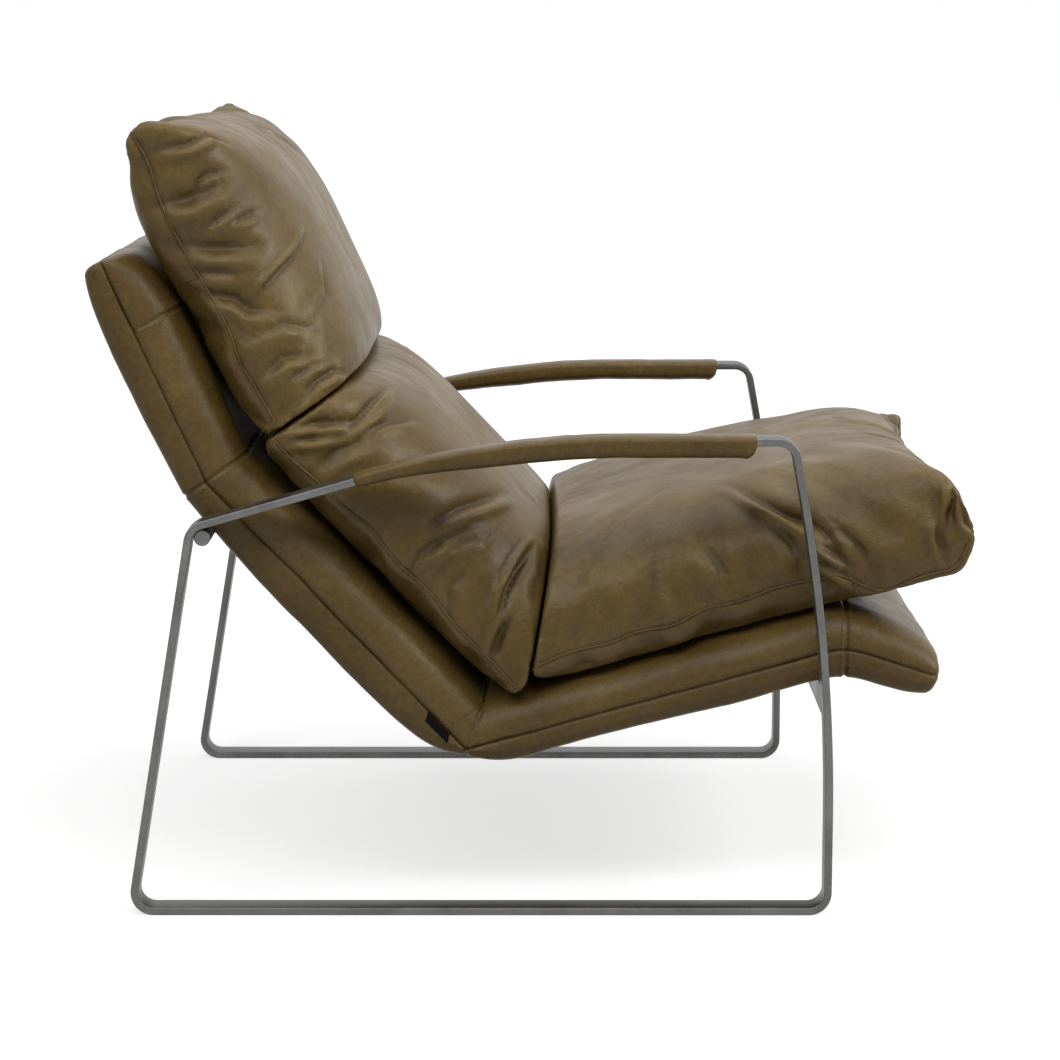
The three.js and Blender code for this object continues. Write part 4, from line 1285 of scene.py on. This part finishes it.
# Folds of the near side: line in the photograph, then width, depth and height of the ridge on its right
FOLDS = {
    "head": {
        "top_tuck": ([(161, 149), (188, 144), (208, 134), (222, 140)], 0.0055, 0.0045, 0.003),
        "upper_hook": ([(195, 191), (200, 180), (208, 174), (219, 171)], 0.0045, 0.004, 0.003),
        "shaded_tuck": ([(163, 203), (188, 199), (208, 189), (216, 183)], 0.010, 0.0065, 0.003),
        "small_tuck": ([(207, 228), (218, 219), (229, 211)], 0.0045, 0.003, 0.002),
        "face_tuck": ([(233, 222), (243, 219), (256, 212)], 0.0045, 0.0025, 0.0015),
        "middle_tuck": ([(184, 245), (214, 248), (246, 246)], 0.010, 0.0065, 0.003),
        "lower_tuck": ([(198, 270), (216, 272), (236, 272)], 0.007, 0.0035, 0.002),
        "low_hook": ([(206, 295), (234, 298), (250, 309), (264, 309)], 0.008, 0.006, 0.003),
        "diagonal": ([(304, 235), (296, 253), (280, 270), (255, 298)], 0.004, 0.0022, 0.003),
        "belly": ([(265, 331), (284, 323), (308, 327)], 0.007, 0.003, 0.0015),
        "channel_hook": ([(266, 372), (284, 357), (304, 354)], 0.007, 0.005, 0.003),
        "channel_small": ([(298, 376), (312, 365), (322, 363)], 0.0045, 0.003, 0.0015),
        "channel_loop": ([(305, 395), (316, 382), (335, 370), (343, 372)], 0.0055, 0.005, 0.0035),
        "front_curve": ([(323, 268), (327, 294), (318, 313)], 0.005, 0.0018, 0.001),
        "far_ear": ([(250, 124), (273, 131), (295, 146)], 0.007, 0.0035, 0.002),
    },
    "lumbar": {
        "channel_tuck": ([(291, 427), (313, 424), (350, 420)], 0.006, 0.005, 0.0035),
        "second_tuck": ([(292, 440), (311, 438), (331, 435)], 0.0055, 0.005, 0.003),
        "elbow": ([(347, 430), (362, 415), (372, 402), (383, 390)], 0.005, 0.005, 0.004),
        "elbow_side": ([(352, 431), (370, 417), (386, 399)], 0.0045, 0.003, 0.003),
        "elbow_tail": ([(368, 429), (387, 423), (411, 419)], 0.0055, 0.003, 0.0015),
        "under_elbow": ([(318, 467), (336, 452), (364, 438)], 0.010, 0.0055, 0.003),
        "arm_wedge": ([(429, 531), (443, 518), (464, 505), (500, 492)], 0.009, 0.0075, 0.0045),
        "arm_second": ([(408, 573), (422, 553), (442, 539), (468, 525)], 0.0065, 0.006, 0.004),
        "arm_third": ([(437, 552), (456, 544), (478, 536)], 0.006, 0.0035, 0.002),
        "arm_low": ([(413, 581), (426, 567), (433, 553)], 0.005, 0.003, 0.0015),
        "arm_front": ([(482, 547), (492, 531), (498, 526)], 0.006, 0.002, 0.001),
        "low_valley": ([(450, 619), (449, 587), (466, 571)], 0.008, 0.003, 0.0015),
        "flap": ([(532, 549), (519, 567), (506, 593), (500, 617)], 0.0055, 0.0075, 0.006),
        "flap_low": ([(511, 617), (499, 636), (491, 658)], 0.005, 0.005, 0.004),
    },
    "seat": {
        "leg_fold": ([(744, 489), (774, 502), (799, 515), (820, 527), (843, 552)], 0.010, 0.0095, 0.005),
        "leg_second": ([(756, 502), (782, 513), (803, 526)], 0.007, 0.0045, 0.003),
        "leg_third": ([(817, 543), (832, 552), (850, 566)], 0.006, 0.0045, 0.004),
        "leg_fourth": ([(819, 560), (833, 567), (852, 578)], 0.006, 0.005, 0.003),
        "front_soft": ([(838, 525), (852, 539), (867, 558)], 0.009, 0.0045, 0.003),
        "side_soft": ([(781, 528), (791, 543), (796, 558)], 0.009, 0.004, 0.002),
        "side_hump": ([(705, 545), (719, 565), (729, 579)], 0.010, 0.0035, 0.003),
        "tip_valley": ([(953, 485), (953, 503), (949, 521)], 0.0055, 0.006, 0.004),
        "tip_gather": ([(960, 494), (962, 508), (965, 523), (973, 531)], 0.0035, 0.004, 0.0035),
        "tip_low": ([(939, 520), (940, 539), (946, 557)], 0.0055, 0.005, 0.003),
        "far_ripple": ([(839, 418), (863, 422), (885, 428), (898, 436), (911, 443)], 0.006, 0.004, 0.002),
        "far_ripple_low": ([(861, 431), (881, 435), (900, 441)], 0.005, 0.0025, 0.0015),
        "far_ripple_high": ([(879, 416), (894, 423), (906, 433)], 0.005, 0.0025, 0.0015),
    },
}


def photo_line(tree, pixels):
    """Points where lines of sight through pixels meet a piece."""
    hits = []
    for start, stop in zip(pixels, pixels[1:]):
        for share in np.linspace(0, 1, SIGHTS):
            pixel = [a + (b - a) * share for a, b in zip(start, stop)]
            hit = tree.ray_cast(*photo_ray(pixel))[0]
            if hit is not None:
                hits.append(np.array(hit))
    return np.array(hits)


def fold_lift(points, normals, line, width, depth, ridge):
    """Height of a fold over each point: a valley along the line with a ridge on its right."""
    even, ways = resample(line, FOLD_STEP)
    gap, which = nearest_on(points, even)
    way, middle = ways[which], even[which]
    right = np.cross(way, normals)
    across = ((points - middle) * right).sum(1)
    beyond = np.sqrt(np.maximum(gap ** 2 - across ** 2, 0))
    share = which / (len(even) - 1)
    along = np.sin(math.pi * (FOLD_END + (1 - 2 * FOLD_END) * share)) ** FOLD_FADE_POWER
    fade = along * bell(beyond, FOLD_FADE_WIDTH * width)
    valley = -depth * np.exp(-np.sqrt((across / width) ** 2 + FOLD_ROUND) * FOLD_STEEPNESS)
    return FOLD_STRENGTH * fade * (valley + ridge * bell(across - RIDGE_OFFSET * width, RIDGE_WIDTH * width))


def pucker_lift(gap, along, seed):
    """Gathers that run from the seam into the leather."""
    reach = PUCKER_REACH * (1 + PUCKER_REACH_VARIES * wave(along, PUCKER_REACH_LENGTH, seed))
    rise = gap / reach * np.exp(1 - gap / reach)
    ridges = wave(along + PUCKER_SLANT * gap, PUCKER_PITCH, seed + 1)
    strength = PUCKER_LEAST + PUCKER_VARIES * wave(along, PUCKER_VARIES_LENGTH, seed + 2)
    return PUCKER_DEPTH * rise * ridges * strength


def sculpt_cushion(cushion, name, shape, line, seed):
    """Gathers along the seam, then the folds of the photograph, with the side folds on both sides."""
    mesh = cushion.data
    points, normals = positions_of(mesh), normals_of(mesh)
    gap, which = nearest_on(points, line)
    free = smoothstep(contact_depth(points, shape["planes"]), PUCKER_FREE_FROM, PUCKER_FREE_TO)
    lift = free * pucker_lift(gap, which * SEAM_STEP, seed) - SEAM_DEPTH * bell(gap, SEAM_WIDTH)
    set_positions(mesh, points + normals * lift[:, None])
    tree = surface_of(cushion)
    lines = {fold: (photo_line(tree, pixels), sizes) for fold, (pixels, *sizes) in FOLDS[name].items()}
    points, normals = positions_of(mesh), normals_of(mesh)
    lift = np.zeros(len(points))
    for place, sizes in lines.values():
        lift += fold_lift(points, normals, place, *sizes)
        if place[:, 0].mean() < -MIRRORED_BEYOND:
            other = place * np.array([-1, 1, 1])
            near = [np.array(tree.find_nearest(Vector(spot))[0]) for spot in other]
            lift += fold_lift(points, normals, np.array(near)[::-1], *sizes)
    set_positions(mesh, press(points + normals * lift[:, None], shape["planes"]))


def add_welt(cushion, name, line):
    """Sewn edge along the cushion's seam."""
    laid = np.array(laid_on(surface_of(cushion), line, WELT_PROUD))
    for _ in range(WELT_ROUNDS):
        laid = 0.5 * laid + 0.25 * (np.roll(laid, 1, 0) + np.roll(laid, -1, 0))
    add_cord(f"{name}_welt", laid, WELT_RADIUS, closed=True)


# Ends of the joins across the cushions' bands, in the photograph
BAND_JOINS = {
    "head": [(198, 278), (173, 284)],
    "lumbar": [(380, 546), (365, 558)],
    "seat": [(850, 577), (858, 596)],
}


def add_band_join(cushion, name):
    surface = surface_of(cushion)
    line = laid_on(surface, photo_line(surface, BAND_JOINS[name]), CORD_PROUD)
    add_cord(f"{name}_band_join", line, BAND_JOIN_RADIUS)


def add_cushion(name, shape):
    points, faces, rim = cushion_grid(shape)
    cushion = add_mesh(
        f"{name}_cushion", points, faces, hide, [f"{name}_cushion_cover", f"{name}_cushion_core"],
    )
    fix_normals(cushion)
    remesh = cushion.modifiers.new("remesh", "REMESH")
    remesh.mode = "VOXEL"
    remesh.voxel_size = CLOTH_CELL
    form = BVHTree.FromPolygons([Vector(point) for point in points], faces)
    take_mesh(cushion, evaluated_mesh(cushion))
    line = resample(rim, SEAM_STEP)[0][:-1]
    mesh = cushion.data
    set_positions(mesh, np.array(laid_on(form, positions_of(mesh), 0)))
    seam_gap, _ = nearest_on(positions_of(mesh), line)
    crumple(cushion, seam_gap, contact_depth(positions_of(mesh), shape["planes"]))
    set_positions(mesh, press(positions_of(mesh), shape["planes"]))
    smooth = cushion.modifiers.new("smooth", "SUBSURF")
    smooth.levels = 1
    smooth.render_levels = 1
    take_mesh(cushion, evaluated_mesh(cushion))
    return cushion, line


for seed, (name, shape) in enumerate(cushions.items()):
    piece, seam = add_cushion(name, shape)
    sculpt_cushion(piece, name, shape, seam, PUCKER_SEED + PUCKER_SEED_STEP * seed)
    # Relief for the painted highlight and painted shade of the folds
    mark_painted_fold_shade(piece)
    add_welt(piece, name, seam)
    add_band_join(piece, name)


# Sewing

def side_row(target, height, first, last, side):
    """Line along the shell's side, at a height above its seam."""
    row = []
    for at in np.arange(first, last, ROW_STEP):
        seam, way, _ = shell_wall(at, target)
        row.append(space(side * SHELL_HALF, seam + way * height))
    return row


def cross_row(target, at, outline, first_height):
    """Line around the shell at one station, from side seam to side seam."""
    seam, way, reach = shell_wall(at, target)
    across, height = outline(reach, SHELL_HALF)
    keep = height >= first_height
    right = [space(-x, seam + way * h) for x, h in zip(across[keep], height[keep])]
    return right + [point * np.array([-1, 1, 1]) for point in reversed(right)]


front_surface, rear_surface = surface_of(shell_front), surface_of(shell_rear)
for hand, side in hands.items():
    row = side_row(FRONT, STITCH_OFFSET, top_at + ROW_TOP_GAP, end_at - ROW_END_GAP, side)
    add_stitches(f"{hand}_seam_stitches", laid_on(front_surface, row, SEWN_PROUD))
front_rows = {"top": top_seam_at, "bend": bend_at, "crease": crease_at, "lip": lip_at}
rear_rows = {"rear_bend": bend_at, "rear_lip": lip_at}
for target, outline, surface, rows in (
    (FRONT, front_outline, front_surface, front_rows), (REAR, rear_outline, rear_surface, rear_rows),
):
    for name, seam in rows.items():
        for edge, step in (("upper", -STITCH_OFFSET), ("lower", STITCH_OFFSET)):
            row = cross_row(target, seam + step, outline, STITCH_OFFSET)
            add_stitches(f"{name}_{edge}_stitches", laid_on(surface, row, SEWN_PROUD))


def add_crease_welt(hand, side):
    """Curved seam that closes the rear band under the crease."""
    seam, rear = shell_station(crease_at)[SEAM], shell_station(crease_at + CREASE_WELT_RUN)[REAR]
    line = []
    for share in np.linspace(0, 1, CREASE_WELT_POINTS):
        drop = math.sin(share * math.pi / 2)
        run = 1 - math.cos(share * math.pi / 2)
        place = seam + (rear - seam) * np.array([run, drop])
        line.append(space(side * SHELL_HALF, place))
    add_cord(f"{hand}_crease_welt", laid_on(rear_surface, line, CORD_PROUD), CREASE_WELT_RADIUS)


def add_crease_dart(hand, side):
    """Slanted seam of the gusset where the front leather turns through the crease."""
    line = []
    for share in np.linspace(0, 1, CREASE_DART_POINTS):
        seam, way, height = shell_wall(crease_at - CREASE_DART_RUN * (1 - share), FRONT)
        across, up = front_outline(height, SHELL_HALF)
        rise = height * (CREASE_DART_FOOT + (CREASE_DART_TIP - CREASE_DART_FOOT) * share)
        rolled = up < height
        x = np.interp(rise, up[rolled], across[rolled])
        line.append(space(side * x, seam + way * rise))
    add_cord(f"{hand}_crease_dart", laid_on(front_surface, line, SEWN_PROUD), CREASE_DART_RADIUS)


for hand, side in hands.items():
    add_crease_welt(hand, side)
    add_crease_dart(hand, side)


def add_tag():
    """Blank woven tag sewn into the side seam of the rear band."""
    middle_at = crease_at - TAG_ABOVE_CREASE
    rows = []
    for at in np.linspace(middle_at - TAG_LENGTH / 2, middle_at + TAG_LENGTH / 2, TAG_ROWS):
        seam, down, _ = shell_wall(at, REAR)
        depths = [TAG_DEPTH * k / (TAG_COLUMNS - 1) for k in range(TAG_COLUMNS)]
        line = [space(-SHELL_HALF, seam + down * depth) for depth in depths]
        rows.append((laid_on(rear_surface, line, SEWN_PROUD), laid_on(rear_surface, line, TAG_THICKNESS)))
    rings = [list(low) + list(reversed(high)) for low, high in rows]
    tag = add_mesh("blank_tag", sum(rings, []), ring_faces(len(rings), 2 * TAG_COLUMNS), woven)
    fix_normals(tag)
    tag.data.polygons.foreach_set("use_smooth", [False] * len(tag.data.polygons))


add_tag()


# Stage

def backdrop_rays(tree):
    """1 for rays that see the backdrop, straight or by gloss or glass, and 0 for those that light."""
    path = tree.nodes.new("ShaderNodeLightPath").outputs
    seen = math_of(tree, "MAXIMUM", path["Is Camera Ray"], path["Is Glossy Ray"])
    return math_of(tree, "MAXIMUM", seen, path["Is Transmission Ray"])


def add_stage():
    mesh = bpy.data.meshes.new("floor")
    far = FLOOR_HALF
    corners = [(-far, -far, 0), (far, -far, 0), (far, far, 0), (-far, far, 0)]
    mesh.from_pydata(corners, [], [(0, 1, 2, 3)])
    floor = bpy.data.objects.new("floor", mesh)
    scene.collection.objects.link(floor)
    material, tree, shader, place = start_material("floor")
    shader.inputs["Base Color"].default_value = (FLOOR_GREY, FLOOR_GREY, FLOOR_GREY, 1)
    shader.inputs["Roughness"].default_value = 0.9
    away = add_node(tree, "ShaderNodeVectorMath", {"operation": "LENGTH"})
    tree.links.new(place, away.inputs[0])
    level = range_of(tree, away.outputs["Value"], FLOOR_NEAR, FLOOR_FAR, FLOOR_GLOW, 1.0)
    shader.inputs["Emission Color"].default_value = (1, 1, 1, 1)
    glow = math_of(tree, "MULTIPLY", backdrop_rays(tree), level)
    tree.links.new(glow, shader.inputs["Emission Strength"])
    mesh.materials.append(material)


def add_world():
    world = bpy.data.worlds.new("studio")
    world.use_nodes = True
    tree = world.node_tree
    back = tree.nodes["Background"]
    back.inputs["Color"].default_value = (1, 1, 1, 1)
    strength = range_of(tree, backdrop_rays(tree), 0.0, 1.0, WORLD_LIGHT, 1.0)
    tree.links.new(strength, back.inputs["Strength"])
    scene.world = world


def add_lamp(name, place, target, size, power):
    data = bpy.data.lights.new(name, "AREA")
    data.shape = "RECTANGLE"
    data.size, data.size_y = size
    data.energy = power
    lamp = bpy.data.objects.new(name, data)
    lamp.location = place
    lamp.rotation_euler = (Vector(target) - Vector(place)).to_track_quat("-Z", "Y").to_euler()
    scene.collection.objects.link(lamp)


add_stage()
add_world()
add_lamp("overhead", (0.3, 0.2, 2.9), (0, 0, 0.4), (2.6, 2.2), OVERHEAD_POWER)
add_lamp("front", (-0.6, -2.6, 2.0), (0, 0, 0.4), (1.8, 1.4), FRONT_POWER)
add_lamp("rear", (-1.9, 1.7, 2.6), (0, 0, 0.45), (1.6, 1.4), REAR_POWER)
add_lamp("side", (-2.0, -0.5, 2.9), (0, 0, 0.45), (2.0, 1.2), SIDE_POWER)
scene.view_settings.view_transform = "Standard"
